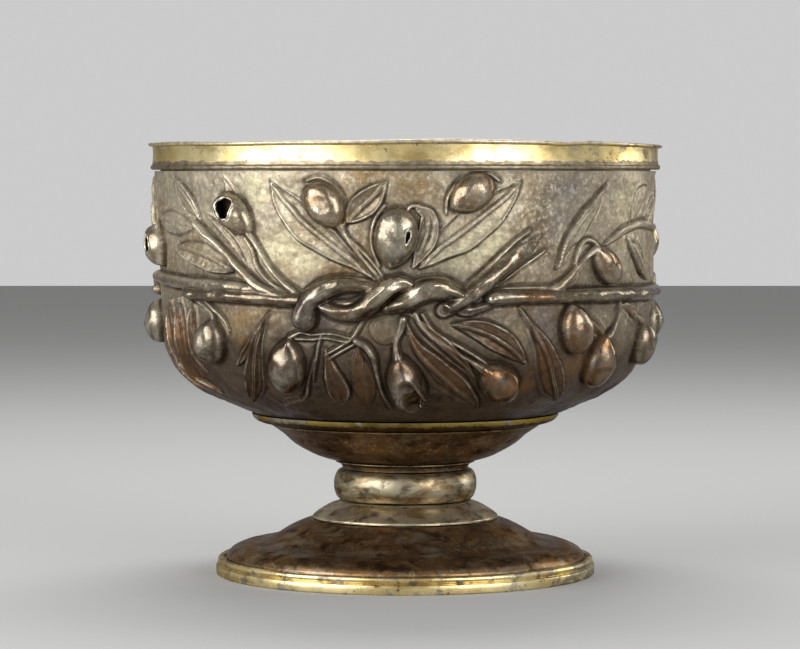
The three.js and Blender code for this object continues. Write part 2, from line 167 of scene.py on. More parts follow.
def edit(piece, *steps):
    """Runs edit-mode steps on everything in a piece"""
    take(piece)
    bpy.ops.object.mode_set(mode="EDIT")
    bpy.ops.mesh.select_all(action="SELECT")
    for step in steps:
        step()
    bpy.ops.object.mode_set(mode="OBJECT")


def point_outwards():
    bpy.ops.mesh.select_all(action="SELECT")
    bpy.ops.mesh.remove_doubles(threshold=0.001 * MM)
    bpy.ops.mesh.normals_make_consistent(inside=False)


def smooth(piece, degrees=50):
    take(piece)
    bpy.ops.object.shade_smooth_by_angle(angle=math.radians(degrees))


def turned(name, outline, turns=TURNS):
    """A closed outline of (radius, height) points, stood up at the right of the axis and spun round it"""
    deselect()
    bpy.ops.mesh.primitive_circle_add(vertices=len(outline), radius=MM)
    piece = keep(name)
    for vertex, (radius, height) in zip(piece.data.vertices, outline):
        vertex.co = Vector((radius, 0, height)) * MM
    edit(piece, lambda: bpy.ops.mesh.spin(steps=turns, angle=2 * math.pi, center=(0, 0, 0), axis=(0, 0, 1)),
         point_outwards)
    smooth(piece)
    return piece


def dent(piece, size, depth, seed=0):
    """Shallow hammered unevenness over a whole piece, with the size and depth of the dents"""
    normals = [vertex.normal.copy() for vertex in piece.data.vertices]
    shift = Vector((seed * 0.37, seed * 0.71, seed * 0.13))
    for vertex, normal in zip(piece.data.vertices, normals):
        vertex.co += normal * depth * MM * noise.noise(vertex.co / (size * MM) + shift)


# The casing's face is one sheet, raised from the back and chased from the front. Its height over the plain
# wall is worked out on a grid of ROWS down the wall and COLUMNS round the cup, which start at the back.
COLUMNS, ROWS = 1464, 267
QUARTER = COLUMNS // 4
STEP = 0.262  # how far apart the grid's points lie
AROUND = np.arange(COLUMNS) * 360 / COLUMNS - 180
DOWN = np.linspace(0, WALL_LENGTH, ROWS)
RADIUS, HEIGHT, OUT, UP = (np.array(column) for column in zip(*(wall_at(down) for down in DOWN)))
BOUGH, LEAF, OLIVE = 1, 2, 3
TARNISHES = ("rust", "dusk", "yellow", "violet", "gold")

# Hills of the ground between the forms, as (height, size, seed), and how far it fades in from the wall's ends
GROUND = ((0.15, 4.5, 5), (0.07, 1.6, 6), (0.035, 0.5, 7))
GROUND_FADE = 2.5

# The tube round a tear: its radius, how deep it sits in the sheet, and its least distance to the casing's reach
EDGE_RADIUS = 0.3
EDGE_SINK = 0.12
EDGE_ROOM = 0.42

# How deep the core's two sides lie under the plain wall
CORE_OUTSIDE, CORE_INSIDE = 0.8, 1.05

sheet = {
    "height": np.zeros((ROWS, COLUMNS)),
    "clear": np.full((ROWS, COLUMNS), 9.0),  # distance to the nearest raised form
    "form": np.zeros((ROWS, COLUMNS)),  # which kind of form lies on top
    "torn": np.zeros((ROWS, COLUMNS), bool),
    **{name: np.zeros((ROWS, COLUMNS)) for name in TARNISHES},  # how much of each tarnish there is
}
tears = []  # the outlines of the torn holes, as (degrees, millimetres down)


def blurred(values, size):
    """A grid of values softened over a size in millimetres"""
    margin = 40
    tall = np.pad(values, ((margin, margin), (0, 0)), mode="reflect")
    down, across = np.fft.fftfreq(len(tall)) / STEP, np.fft.rfftfreq(COLUMNS) / STEP
    kept = np.exp(-2 * (math.pi * size) ** 2 * (down[:, None] ** 2 + across ** 2))
    return np.fft.irfft2(np.fft.rfft2(tall) * kept, tall.shape)[margin:-margin]


def rough(size, seed):
    """Random hills and hollows of a size in millimetres, about one unit high"""
    hills = blurred(np.random.default_rng(seed).standard_normal((ROWS, COLUMNS)), size)
    return hills / hills.std()


DENTS = rough(1.1, 3)
DINTS = rough(0.45, 4)
CLOUDS = rough(1.5, 8)


def degree_at(down):
    """Length of one degree round the wall at a distance down, in millimetres"""
    return np.interp(down, DOWN, RADIUS) * math.pi / 180


def patch(path, margin):
    """The part of the grid round a path, and the places of its points"""
    low, high = path[:, 1].min() - margin, path[:, 1].max() + margin
    reach = margin / degree_at(high)
    rows = slice(*np.searchsorted(DOWN, (low, high)))
    columns = slice(*np.searchsorted(AROUND, (path[:, 0].min() - reach, path[:, 0].max() + reach)))
    return (rows, columns), *np.meshgrid(AROUND[columns], DOWN[rows])


def follow(path, degrees, down):
    """How places lie to a path: how far from it, whether to its right, and how far along, counted in points"""
    gap, right, along = np.full(degrees.shape, 1e9), np.zeros(degrees.shape, bool), np.zeros(degrees.shape)
    for i, (start, end) in enumerate(zip(path, path[1:])):
        degree = degree_at((start[1] + end[1]) / 2)
        run, drop = (end[0] - start[0]) * degree, end[1] - start[1]
        x, y = (degrees - start[0]) * degree, down - start[1]
        share = np.clip((x * run + y * drop) / (run ** 2 + drop ** 2), 0, 1)
        here = np.hypot(x - run * share, y - drop * share)
        closer = here < gap
        gap = np.where(closer, here, gap)
        right = np.where(closer, x * drop - y * run < 0, right)
        along = np.where(closer, i + share, along)
    return gap, right, along


def walk(path):
    """Distance walked to each point of a path, in millimetres"""
    degree = degree_at((path[1:, 1] + path[:-1, 1]) / 2)
    return np.concatenate([[0], np.cumsum(np.hypot(np.diff(path[:, 0]) * degree, np.diff(path[:, 1])))])


def raise_form(where, lift, outside, kind, soften=0.5, rust=0.0, dusk=0.0):
    """Raises the sheet to a form's height, with a soft fillet where it meets what is there, and tarnishes it"""
    before = sheet["height"][where].copy()
    fillet = np.maximum(soften - np.abs(before - lift), 0) ** 2 / (4 * soften)
    sheet["height"][where] = np.maximum(before, lift) + fillet
    on_top = (lift > before) & (outside < 0.2)
    for name, value in (("form", kind), ("rust", rust), ("dusk", dusk)):
        sheet[name][where] = np.where(on_top, value, sheet[name][where])
    sheet["clear"][where] = np.minimum(sheet["clear"][where], outside)


def tarnish(name, place, wide, high, amount=1.0):
    """Lays a patch of tarnish with a cloudy edge. wide and high are its size in millimetres."""
    path = np.array(percent([place]))
    where, degrees, down = patch(path, max(wide, high) * 1.2)
    x, y = (degrees - path[0, 0]) * degree_at(path[0, 1]) / wide, (down - path[0, 1]) / high
    soft = amount * np.exp(-4 * (x ** 2 + y ** 2) * (1 + 0.35 * CLOUDS[where]))
    sheet[name][where] = np.maximum(sheet[name][where], np.clip(soft, 0, 1))


def bell(distance, width):
    return np.exp(-(distance / width) ** 2)


def leaf(rib, left, right, rise=1.4, edges=(0.8, 0.2), belly=0.5, sag=0.3, tip=0.4, stalk=0.6, veins=0.0,
         rust=0.0, dusk=0.0):
    """Chases a leaf along its rib, from the stem. left and right are its half widths, rise its rib's height and
    edges its edges' heights, where a low edge fades into the ground. tip and stalk are shares of the height."""
    path = smooth_path(percent(rib), 8)
    where, degrees, down = patch(path, max(left, right) + 3)
    gap, on_right, along = follow(path, degrees, down)
    walked = walk(path)
    far = np.interp(along, np.arange(len(path)), walked)
    share = far / walked[-1]
    swell = np.sin(math.pi * np.clip(share, 0.001, 0.999) ** (math.log(0.5) / math.log(belly))) ** 0.85
    wobble = 1 + 0.03 * np.sin(0.7 * far + 3 * on_right + rib[0][0])
    half = 0.2 + (np.where(on_right, right, left) * wobble - 0.2) * swell
    ends = np.interp(share, (0, 0.25, 0.7, 1), (stalk, 1, 1, tip))
    keen = np.where(on_right, edges[1], edges[0])
    edge = keen * ends
    across = gap / half
    fine = min(1, (left + right) / 4.5)
    blade = (1 - across) * 0.6 * rise * ends + across * edge - sag * 4 * across * (1 - across) * swell
    groove = 0.12 * bell(gap - 0.85 * fine, 0.35 * fine)
    ridge = rise * ends * (0.3 * bell(gap - 0.26 * fine, 0.17 * fine) - groove)
    lip = 0.18 * np.clip(edge - 0.35, 0, 1) * bell(half - gap - 0.2, 0.3)
    vein = veins * np.sin(5.2 * far - 4.4 * gap) * np.minimum(across, 1)
    dents = 0.05 * DENTS[where] * np.clip(across * (1 - across) * 4, 0, 1)
    outside = gap - half
    fall = np.where(keen > 0.6, 4.5, 1.1)
    lift = np.where(outside < 0, blade + ridge + lip + vein + dents, edge - fall * outside)
    faded = np.clip(0.9 - keen, 0, 0.8) * 2.2
    raise_form(where, lift, outside + faded, LEAF, 0.3, rust, dusk)


def bough(path, thick, sink=0.45, bark=0.1, cut=False, rust=0.0, dusk=0.0):
    """Raises a round bough, twig or stalk through places of [degrees, percent, share of thick, height over
    others, share of its own height]"""
    full = [(*place, *(1, 0, 1)[len(place) - 2:]) for place in path]
    line = smooth_path(percent(full), 8)
    where, degrees, down = patch(line, thick + 2)
    gap, on_right, along = follow(line, degrees, down)
    points = np.arange(len(line))
    half, over = thick / 2 * np.interp(along, points, line[:, 2]), np.interp(along, points, line[:, 3])
    tall, far = np.interp(along, points, line[:, 4]), np.interp(along, points, walk(line))
    profile = np.sqrt(np.clip(1 - (gap / half) ** 2, 0, 1))
    turn = np.where(on_right, gap, -gap) / half
    swirl = np.sin(3.4 * turn - 0.42 * far + path[0][0]) * 0.8 + np.sin(7 * turn + 0.5 * far) * 0.35
    grain = bark * half * (swirl + 0.8 * DENTS[where]) * profile
    knots = 1 + 0.035 * np.sin(0.9 * far + 2 * path[0][1])
    body = over + tall * ((2 - sink) * half * profile * knots + grain)
    lift = np.where(gap < half, body, over - 4 * (gap - half))
    if cut:
        lift = np.minimum(lift, 1.2 + 1.5 * far)
    faded = np.clip(0.7 - tall, 0, 1) * 2.5 - np.minimum(over, 0) * 0.6
    raise_form(where, lift, gap - half + faded, BOUGH, 0.35, rust, dusk)


def olive(stem, tip, width, rise, holes=(), hollow=None, flat=1.0, seed=1, rust=0.0, dusk=0.0, collar=0.0):
    """Raises an olive from its stem to its tip. flat cuts its top down to a share of its rise, hollow is a
    crushed place, collar the height of the ring round its stem, and holes are torn, as (across, along, wide,
    long)."""
    path = np.array(percent([stem, tip]))
    middle, degree = path.mean(axis=0), degree_at(path[:, 1].mean())
    axis = (path[1] - path[0]) * (degree, 1)
    half_length = np.linalg.norm(axis) / 2
    axis /= 2 * half_length
    where, degrees, down = patch(path, width * 0.75)
    run, drop = (degrees - middle[0]) * degree, down - middle[1]
    y = (run * axis[0] + drop * axis[1]) / half_length
    x = (drop * axis[0] - run * axis[1]) / (width / 2)
    fat = x / (1 + 0.13 * np.clip(y, -1, 1))
    pointed = 2 - 0.5 * np.clip(-y, 0, 1) ** 2
    round_off = (np.abs(fat) ** pointed + np.abs(y) ** pointed) ** (1 / pointed)
    lift = rise * np.clip(1 - round_off ** 2, 0, 1) ** 0.45 * (1 - 0.1 * np.clip(-y, 0, 1))
    lift += 0.35 * bell(np.hypot(x * 3, (y - 1) * 4), 1) + collar * bell(np.hypot(x * 1.6, y + 1), 0.22)
    if flat < 1:
        over = lift - rise * flat
        lift -= np.where(over > 0, over * 0.8, 0)
    if hollow:
        far = np.hypot((x - hollow[0]) / hollow[2], (y - hollow[1]) / hollow[3]) * (1 + 0.07 * DENTS[where])
        lift += rise * (0.1 * bell(far - 1.1, 0.14) - 0.36 * np.clip(1 - far ** 3, 0, 1)) * (round_off < 1)
        lift += (0.06 * DINTS[where] + 0.16 * DENTS[where]) * np.clip(1 - far, 0, 1)
    lift += rise * (0.03 * DENTS[where] + 0.03 * CLOUDS[where]) * np.clip(1.2 - round_off, 0, 1)
    outside = (round_off - 1) * width / 2
    for across, ahead, wide, long in holes:
        x_off, y_off = (x - across) * width / 2, (y - ahead) * half_length
        turn = np.arctan2(y_off / long, x_off / wide)
        reach = np.hypot(x_off / wide, y_off / long) * 2 / ragged(turn, seed)
        lift += 0.25 * bell(reach - 1.25, 0.2) * (round_off < 1)
        sheet["torn"][where] |= reach < 1
        turns = np.linspace(0, 2 * math.pi, 48, endpoint=False)
        x_edge = across * width / 2 + wide / 2 * ragged(turns, seed) * np.cos(turns)
        y_edge = ahead * half_length + long / 2 * ragged(turns, seed) * np.sin(turns)
        runs, drops = y_edge * axis[0] - x_edge * axis[1], y_edge * axis[1] + x_edge * axis[0]
        tears.append(np.stack([middle[0] + runs / degree, middle[1] + drops], axis=1))
    raise_form(where, np.where(round_off < 1, lift, -2.2 * outside), outside, OLIVE, 0.3, rust, dusk)


def ragged(turn, seed):
    """How far a tear's edge lies from its middle, as a share of its half size, all the way round"""
    return 1 + 0.09 * np.sin(3 * turn + seed) + 0.04 * np.sin(5 * turn + 2 * seed)


def worn_disc(place, radius, rise):
    """A low flat boss, rubbed nearly smooth"""
    path = np.array(percent([place]))
    where, degrees, down = patch(path, radius + 2)
    gap = np.hypot((degrees - path[0, 0]) * degree_at(path[0, 1]), down - path[0, 1])
    lift = rise / (1 + np.exp((gap - radius) * 3)) + 0.12 * bell(gap - radius * 0.55, 0.5)
    raise_form(where, lift, gap - radius + 0.6, 0, 0.2)


# The relief of the front. Places are (degrees to the right of the front, percent of the way down the wall).
LEAVES = {
    "leaf_edge_upper": dict(rib=[(-86, 14), (-86, 8), (-86, 2)], left=2.4, right=2.4, rise=1.2),
    "leaf_ridged": dict(rib=[(-80, 22), (-82, 15), (-84, 8)], left=2.6, right=2.2, rise=1.9, edges=(0.8, 0.6)),
    "leaf_upper_left": dict(rib=[(-52.2, 16.8), (-55.6, 11.2), (-59.8, 6.3), (-63.2, 2.2)], left=4.2, right=2.2,
        rise=0.8, edges=(0.05, 0.85), sag=0.15, veins=0.03),
    "leaf_left_level": dict(rib=[(-53.1, 18.2), (-59.6, 17.3), (-68.2, 16.1), (-77, 15.7)], left=3.4, right=3.6,
        rise=0.7, edges=(0.7, 0.05), sag=0.1),
    "leaf_left_broad": dict(rib=[(-41.2, 32.4), (-46.2, 29.6), (-51.4, 27.4), (-57.9, 25.6), (-66, 24.5)],
        left=3.4, right=3.8, rise=0.9, edges=(1.3, 0.1), sag=0.35, stalk=1.1, belly=0.42),
    "leaf_between": dict(rib=[(-36.6, 31.3), (-40.8, 25.2), (-45.2, 19.4), (-49.9, 14)], left=1.5, right=2.2,
        rise=0.6, edges=(0.1, 0.45), sag=0.1),
    "leaf_behind_olive": dict(rib=[(-38, 21), (-40.8, 14.4), (-42.3, 7.8), (-43.4, 2.2)], left=3.8, right=3.8,
        rise=0.7, edges=(0.1, 0.6), belly=0.4),
    "leaf_knot_left": dict(rib=[(-6.1, 35.2), (-10.3, 30.1), (-14.6, 25.3), (-18.3, 21.2), (-22.1, 16.7),
        (-25, 12.2), (-27.6, 8.3), (-30, 3.6)], left=3.9, right=3.2, rise=1.5, edges=(1.35, 0.5), belly=0.62,
        sag=0.4, veins=0.03),
    "leaf_knot_small": dict(rib=[(-12.4, 16.3), (-10, 12.4), (-7.2, 8.6), (-5.4, 5.7), (-4.1, 3.7)], left=2.8,
        right=2.8, rise=1.1, edges=(1.1, 1.25), belly=0.45, sag=0.6, dusk=0.3),
    "leaf_curled": dict(rib=[(1.6, 31.1), (3.2, 25.3), (4.6, 19.5), (4.4, 14.4), (2.2, 12.1)], left=1.9,
        right=2.6, rise=0.9, edges=(1.0, 1.4), sag=0.7, belly=0.55, dusk=0.6),
    "leaf_knot_right": dict(rib=[(3, 31.1), (7.2, 24.9), (11.9, 19.9), (17.4, 13.4), (21.9, 8.3), (25.2, 3.4)],
        left=4.1, right=4.3, rise=1.6, edges=(0.5, 1.35), belly=0.5, sag=0.45, veins=0.03),
    "leaf_right_tall": dict(rib=[(35.2, 31.6), (38.1, 23.4), (42, 16.6), (45.9, 11.4), (50.2, 4.6)], left=1.8,
        right=4.6, rise=0.9, edges=(1.8, 0.05), sag=0.25, stalk=0.9, veins=0.04),
    "leaf_fan_upper": dict(rib=[(60.4, 17.7), (63.2, 13), (66.6, 9.1), (70.8, 4.6)], left=4.2, right=3.4,
        rise=0.8, edges=(0.35, 0.2), veins=0.09),
    "leaf_fan_edge": dict(rib=[(70, 17.8), (73.8, 13.2), (76.5, 7)], left=3, right=3, rise=1.3,
        edges=(0.3, 0.9), veins=0.08),
    "leaf_fan_lower": dict(rib=[(59.7, 22.3), (63.7, 26.5), (68.1, 31.4), (73, 36.6)], left=3.8, right=2.2,
        rise=1.1, edges=(0.15, 1.2), veins=0.05),
    "blade_left_outer": dict(rib=[(-67.2, 43.6), (-67.4, 49.3), (-66.5, 54.8), (-66, 61.3), (-66.5, 68)],
        left=2.0, right=2.2, rise=1.0, edges=(0.3, 1.7), sag=0, dusk=0.9, rust=0.5),
    "blade_left_middle": dict(rib=[(-61.6, 42.7), (-61.4, 48.9), (-60.8, 54.5), (-60.6, 61.1), (-61.6, 67.8),
        (-60, 75)], left=2.6, right=2.5, rise=1.2, edges=(0.4, 2.0), sag=0, dusk=0.8, rust=0.8),
    "blade_left_inner": dict(rib=[(-55.9, 42.9), (-55.9, 48.6), (-55.8, 54.2), (-55.5, 60.7), (-54.6, 68)],
        left=1.9, right=1.5, rise=1.0, edges=(0.3, 1.8), sag=0, dusk=0.9, rust=0.4),
    "leaf_left_low": dict(rib=[(-71, 60.5), (-68.5, 67.4), (-63.5, 73), (-56.5, 77.6)], left=2.8, right=2.6,
        rise=1.9, edges=(1.4, 0.4), dusk=0.5, rust=0.6),
    "blade_dark": dict(rib=[(-31.4, 46.4), (-33.8, 53.1), (-35.3, 58.5), (-37.1, 65.3), (-40, 72.9),
        (-46.4, 82.4)], left=2.3, right=2.3, rise=1.3, edges=(0.6, 1.5), belly=0.6, dusk=1, rust=0.2),
    "blade_curled": dict(rib=[(-33.2, 48.4), (-35.4, 52.4), (-37.7, 56.5), (-39.9, 59.9), (-42.1, 64)],
        left=1.7, right=1.5, rise=1.0, edges=(0.8, 0.3), tip=1.3, dusk=0.6, rust=0.4, belly=0.65),
    "leaf_low_left": dict(rib=[(-18, 58.2), (-17.2, 65.9), (-16.8, 72.9), (-17.5, 82)], left=2.8, right=2.4,
        rise=0.6, edges=(0.9, 0.9), belly=0.62, sag=0.5, dusk=1, rust=0.4),
    "leaf_low_small": dict(rib=[(-26.4, 78.6), (-31.1, 81.2), (-37.2, 85)], left=1.7, right=1.7, rise=0.9,
        edges=(0.2, 0.7), dusk=0.6),
    "leaf_low_middle": dict(rib=[(-10.3, 55.6), (-9.8, 64.1), (-9.2, 73.1), (-9.7, 85)], left=3.8, right=3.3,
        rise=0.7, edges=(0.1, 0.7), sag=0.2, dusk=1, rust=0.6),
    "leaf_low_right": dict(rib=[(-0.1, 48.5), (1.4, 56.1), (4.9, 62.5), (9.5, 68.9), (14.8, 76.1), (20, 84)],
        left=3.4, right=3.0, rise=1.2, edges=(1.1, 0.2), belly=0.55, sag=0.3, dusk=1, rust=0.5),
    "leaf_low_upper": dict(rib=[(0.8, 45.9), (4.4, 51.9), (8.4, 57.1), (12.4, 62.4), (16, 67.6)], left=1.8,
        right=1.7, rise=1.3, edges=(1.1, 0.4), belly=0.5, dusk=0.7, rust=0.3),
    "leaf_right_level": dict(rib=[(10.4, 49.7), (13.4, 50.4), (16.4, 51.7), (19.5, 53.7), (22.8, 56.6),
        (25.9, 60), (28.4, 63.1)], left=2.8, right=2.6, rise=1.5, edges=(0.9, 0.8), sag=0.5, dusk=0.6,
        rust=0.3),
    "leaf_right_long": dict(rib=[(25.5, 44.4), (28.6, 50.7), (31.3, 55.9), (34.4, 62.8), (38, 70.6),
        (45, 81.5)], left=2.9, right=3.9, rise=1.6, edges=(1.1, 0.3), belly=0.62, dusk=0.6, rust=0.8),
    "leaf_right_behind": dict(rib=[(40.6, 43.2), (44.8, 48.4), (49.5, 52.6), (53, 56)], left=2.0, right=2.4,
        rise=0.8, edges=(0.2, 0.4), rust=0.4),
    "bract_right": dict(rib=[(57.7, 44.4), (62.4, 47.9), (67.2, 52)], left=2.0, right=1.7, rise=1.1, rust=0.5),
}

BOUGHS = {
    "bough_left_upper": dict(thick=3.0, sink=0.8, bark=0.04, path=[(-90, 41, 0.8), (-86, 36.2, 0.9),
        (-72.6, 36.7), (-56.2, 37.6), (-43.4, 37.9), (-34.5, 39, 0.9), (-27, 40.6, 0.9)]),
    "bough_left_lower": dict(thick=3.1, bark=0.05, dusk=0.45, rust=0.2, path=[(-59, 40, 0.9, -0.8),
        (-56, 40.9, 1.05), (-52, 41, 0.95), (-41.6, 41), (-33.1, 41.4), (-27, 41.9, 1.05), (-22.5, 41.6, 1.1)]),
    "bough_left_slant": dict(thick=1.9, path=[(-53.3, 17.9, 1.2), (-46, 24.3, 0.8), (-40, 31.1),
        (-33.8, 37.8, 1.2), (-28.1, 40.5, 1.3), (-23, 41)]),
    "knot_first": dict(thick=5.1, bark=0.06, dusk=0.3, path=[(-22.5, 48, 1.08), (-22.1, 45.1, 1.1),
        (-20.5, 41.4, 1.05, 0.3), (-17.9, 38.6, 1.02, 0.4), (-14.8, 36.9, 0.86, 0.2), (-11.2, 36.5, 0.72),
        (-7.8, 37.2, 0.68), (-5, 38.6, 0.6)]),
    "knot_second": dict(thick=4.3, bark=0.1, dusk=0.28, rust=0.3, path=[(-18.6, 42.8, 0.7), (-17.2, 44, 0.9),
        (-15, 45.3, 0.95), (-12.1, 45.7, 1.02, 0.2), (-9.1, 44.2, 1.12, 0.5), (-7, 41.7, 1.15, 0.9),
        (-4.9, 38.8, 1.05, 1.1), (-2.8, 36.7, 1, 0.9), (-0.7, 36.2, 0.9, 0.4), (1.4, 37.4, 0.7)]),
    "knot_second_ridge": dict(thick=1.7, sink=0.3, dusk=0.3, path=[(-15.7, 42.1, 0.7, 0.3),
        (-14.2, 42.7, 0.9, 0.4), (-11.5, 42.4, 1, 0.5), (-9.6, 41.2, 1, 0.9), (-7.8, 39, 1, 1.3),
        (-6.2, 36.9, 0.9, 1.3), (-4.3, 35.3, 0.8, 1), (-2.2, 34.7, 0.7, 0.6), (0, 35.4, 0.6, 0.2)]),
    "knot_third": dict(thick=4.9, bark=0.1, dusk=0.32, rust=0.2, path=[(-3.9, 44, 0.6), (-1.6, 42.8, 0.85, 0.2),
        (0.6, 41.3, 0.98, 0.5), (2.5, 39.6, 1.02, 0.8), (4.8, 38.3, 1.08, 0.7), (7.8, 38.1, 1.02, 0.3),
        (10.7, 39.1, 0.85), (13, 41, 0.7)]),
    "knot_third_ridge": dict(thick=1.2, sink=0.3, path=[(-0.9, 39, 0.6, 1.2), (1.9, 36.3, 1, 1.1),
        (4.2, 34.9, 1, 0.7), (7.7, 34.7, 1, 0.5), (10.4, 36.3, 1, 0.3), (12.4, 38, 0.8, 0.3)]),
    "cut_stub": dict(thick=4.3, cut=True, bark=0.06, dusk=0.75, rust=0.15, path=[(8.2, 44.8, 0.8),
        (10.8, 42.8, 0.85, 0.3), (13.4, 40.3, 0.9, 0.6), (16.4, 37, 1, 0.4), (19.3, 33.5, 1, 0.1, 0.9),
        (22.3, 30, 1.02, 0, 0.72), (25.3, 26.6, 1.05, 0, 0.5), (28.5, 23.6, 1.05, -0.2, 0.25),
        (30.6, 21.6, 1, -0.6, 0.05)]),
    "stub_lump": dict(thick=2.6, sink=0.9, dusk=0.8, path=[(10.7, 44.2, 0.8), (13.2, 45, 1.1),
        (15.8, 44.4, 0.9), (18.3, 43.2, 0.7)]),
    "bough_right": dict(thick=3.4, dusk=0.14, bark=0.04, path=[(18.8, 41.2, 1.0), (20.8, 40.9, 1.05),
        (27.6, 40.9, 0.95), (36.8, 40.9, 0.95), (47.6, 40.9), (60, 41), (73.4, 41.4), (88, 41, 0.9),
        (92, 41, 0.8)]),
    "bough_right_joint": dict(thick=2.4, sink=0.8, path=[(31, 39.6, 0.5), (35.2, 38.4, 1.1), (38, 36.4, 0.8),
        (40.2, 34.2, 0.6)]),
}

STALKS = {
    "stub_ridge": dict(thick=0.8, sink=0.4, path=[(10.5, 40.8, 0.6, 0.5), (12.9, 37.5, 1, 0.7),
        (15.9, 33.8, 1, 0.6), (18.8, 29.9, 1, 0.4), (21.8, 25.9, 1, 0.3), (24.8, 22.2, 0.9),
        (27.8, 19.4, 0.7)]),
    "stub_under": dict(thick=0.7, sink=0.6, path=[(21, 36.5, 0.6), (24.9, 32.2), (29, 28.4),
        (31.8, 25.9, 0.6)]),
    "bough_ridge": dict(thick=0.9, sink=0.6, path=[(17.8, 39.4, 0.7), (21, 38.2), (27, 37.9), (31.8, 38.0),
        (35, 38, 0.7)]),
    "stalk_long": dict(thick=1.2, path=[(-36.4, 20.2, 1.4), (-34.1, 24.7), (-32.6, 28.3), (-31.1, 31.5),
        (-28.6, 35, 1.1), (-25.6, 38.4, 1.3), (-23, 40.5)]),
    "stalk_long_pair": dict(thick=0.9, path=[(-37.4, 21.9), (-35.6, 25.6), (-34.6, 30.6), (-32.6, 34.4),
        (-29.8, 37.4), (-26, 39.6), (-23, 41.5)]),
    "stalk_knot": dict(thick=1.0, path=[(-14.2, 17.6, 1.9), (-12.9, 21.2), (-10.2, 26.6), (-7.6, 31.1),
        (-5.5, 35)]),
    "stalk_knot_pair": dict(thick=0.8, path=[(-13.4, 20.4), (-9.2, 26.2), (-6.4, 30.9), (-4.6, 35)]),
    "stalk_curl": dict(thick=1.0, path=[(40.2, 30.4), (41.4, 25), (43.6, 22.7), (46.2, 23.4), (47.6, 25)]),
    "stalk_right": dict(thick=1.9, path=[(36.2, 37.4, 1.1), (38.6, 34.6, 0.9), (40.6, 31.8, 0.8),
        (43.8, 28.2, 0.7), (46.6, 25.9, 1.2)]),
    "twig_fan": dict(thick=1.8, sink=1.25, path=[(50.7, 24.4, 0.4), (53.7, 22.2, 0.8), (57.6, 19.9),
        (66.1, 17.8), (76, 18.4), (85.4, 19.6)]),
    "stalk_left": dict(thick=1.2, path=[(-55.1, 42.6), (-50.8, 45.3), (-48.4, 47.6), (-47.8, 50.5, 1.5)]),
    "stalk_left_pair": dict(thick=1.0, path=[(-52.6, 42.1), (-48.6, 45.2), (-44.7, 49, 0.8), (-43, 53, 0.4)]),
    "net_upper": dict(thick=0.8, sink=0.8, path=[(-9, 47.6), (-10.6, 52), (-12.1, 54), (-15.2, 53),
        (-17.9, 52.7), (-21.2, 53.1), (-23.8, 52.5), (-26.3, 54.4, 1.9)]),
    "net_lower": dict(thick=0.8, sink=0.8, path=[(-9.8, 48.8), (-11.4, 53.2), (-13, 55.2), (-17.9, 54.1),
        (-21.2, 54.6), (-25, 54.6)]),
    "net_fork": dict(thick=0.8, sink=0.8, path=[(-12.1, 54.8), (-15.1, 57.3), (-17.9, 59.6)]),
    "net_fork_pair": dict(thick=0.8, path=[(-11.4, 56), (-14.6, 58.6), (-17.4, 61)]),
    "net_drop": dict(thick=0.8, sink=0.9, path=[(-18.9, 53.6), (-19.7, 57.1), (-20.4, 61), (-21.6, 66),
        (-22.4, 70, 0.6)]),
    "net_right": dict(thick=1.5, path=[(-10.8, 55.0, 1.2), (-8.6, 56.9, 1.2), (-7.2, 60.4), (-6.7, 65.1, 0.7),
        (-5.6, 74.6, 0.6), (-4, 86, 0.3)]),
    "net_low": dict(thick=0.8, sink=0.8, path=[(-20.9, 61.7), (-23.6, 69.8), (-26, 77), (-29.4, 80.6),
        (-35.8, 84)]),
    "stalk_middle": dict(thick=1.7, path=[(-0.6, 47.9, 1.1), (-1.2, 51.4), (-2.1, 54.9, 0.8), (-2.1, 58.1, 0.9),
        (-1.7, 60.4, 1.4)]),
    "stalk_low_right": dict(thick=1.3, path=[(2, 45.9), (3.2, 49.5), (5.4, 53.1), (8.3, 56.2), (11.2, 58.8),
        (14.8, 61.8), (18, 64.6, 1.9)]),
    "stalk_low_pair": dict(thick=1.0, path=[(3.6, 46.2), (5.2, 50), (7.8, 53.4), (11.4, 56.4), (15.6, 60),
        (18.8, 63)]),
    "stalk_far_right": dict(thick=1.1, path=[(56.9, 44), (56.7, 48), (55.1, 52.2), (52.4, 55, 1.6)]),
    "stalk_edge_right": dict(thick=1.3, path=[(59.8, 44.6), (64, 48), (69.4, 51, 1.6)]),
    "ring_first": dict(thick=0.9, sink=1.0, path=[(-21.9, 3.3, 0.4), (-18.7, 2.2, 0.8), (-15.6, 4.4),
        (-13.5, 9.3), (-12.7, 14.4), (-13.4, 17.6)]),
    "ring_middle": dict(thick=0.9, sink=0.8, path=[(-4.6, 11.2), (-6.5, 15.4), (-7.3, 20.5), (-7.1, 25.3),
        (-5.7, 30.5)]),
    "ring_right": dict(thick=0.9, sink=1.0, path=[(8.7, 13.8, 0.5), (9.1, 8.6, 0.8), (11, 4.1), (14.4, 1.4),
        (17.9, 0.9), (20.4, 3.2, 0.6)]),
    "rim_curled": dict(thick=0.8, path=[(0.2, 13.2), (1.2, 11.4), (3.4, 11.6), (5.4, 14.6), (6.1, 18.6),
        (5.2, 24), (3.4, 29.4)]),
}

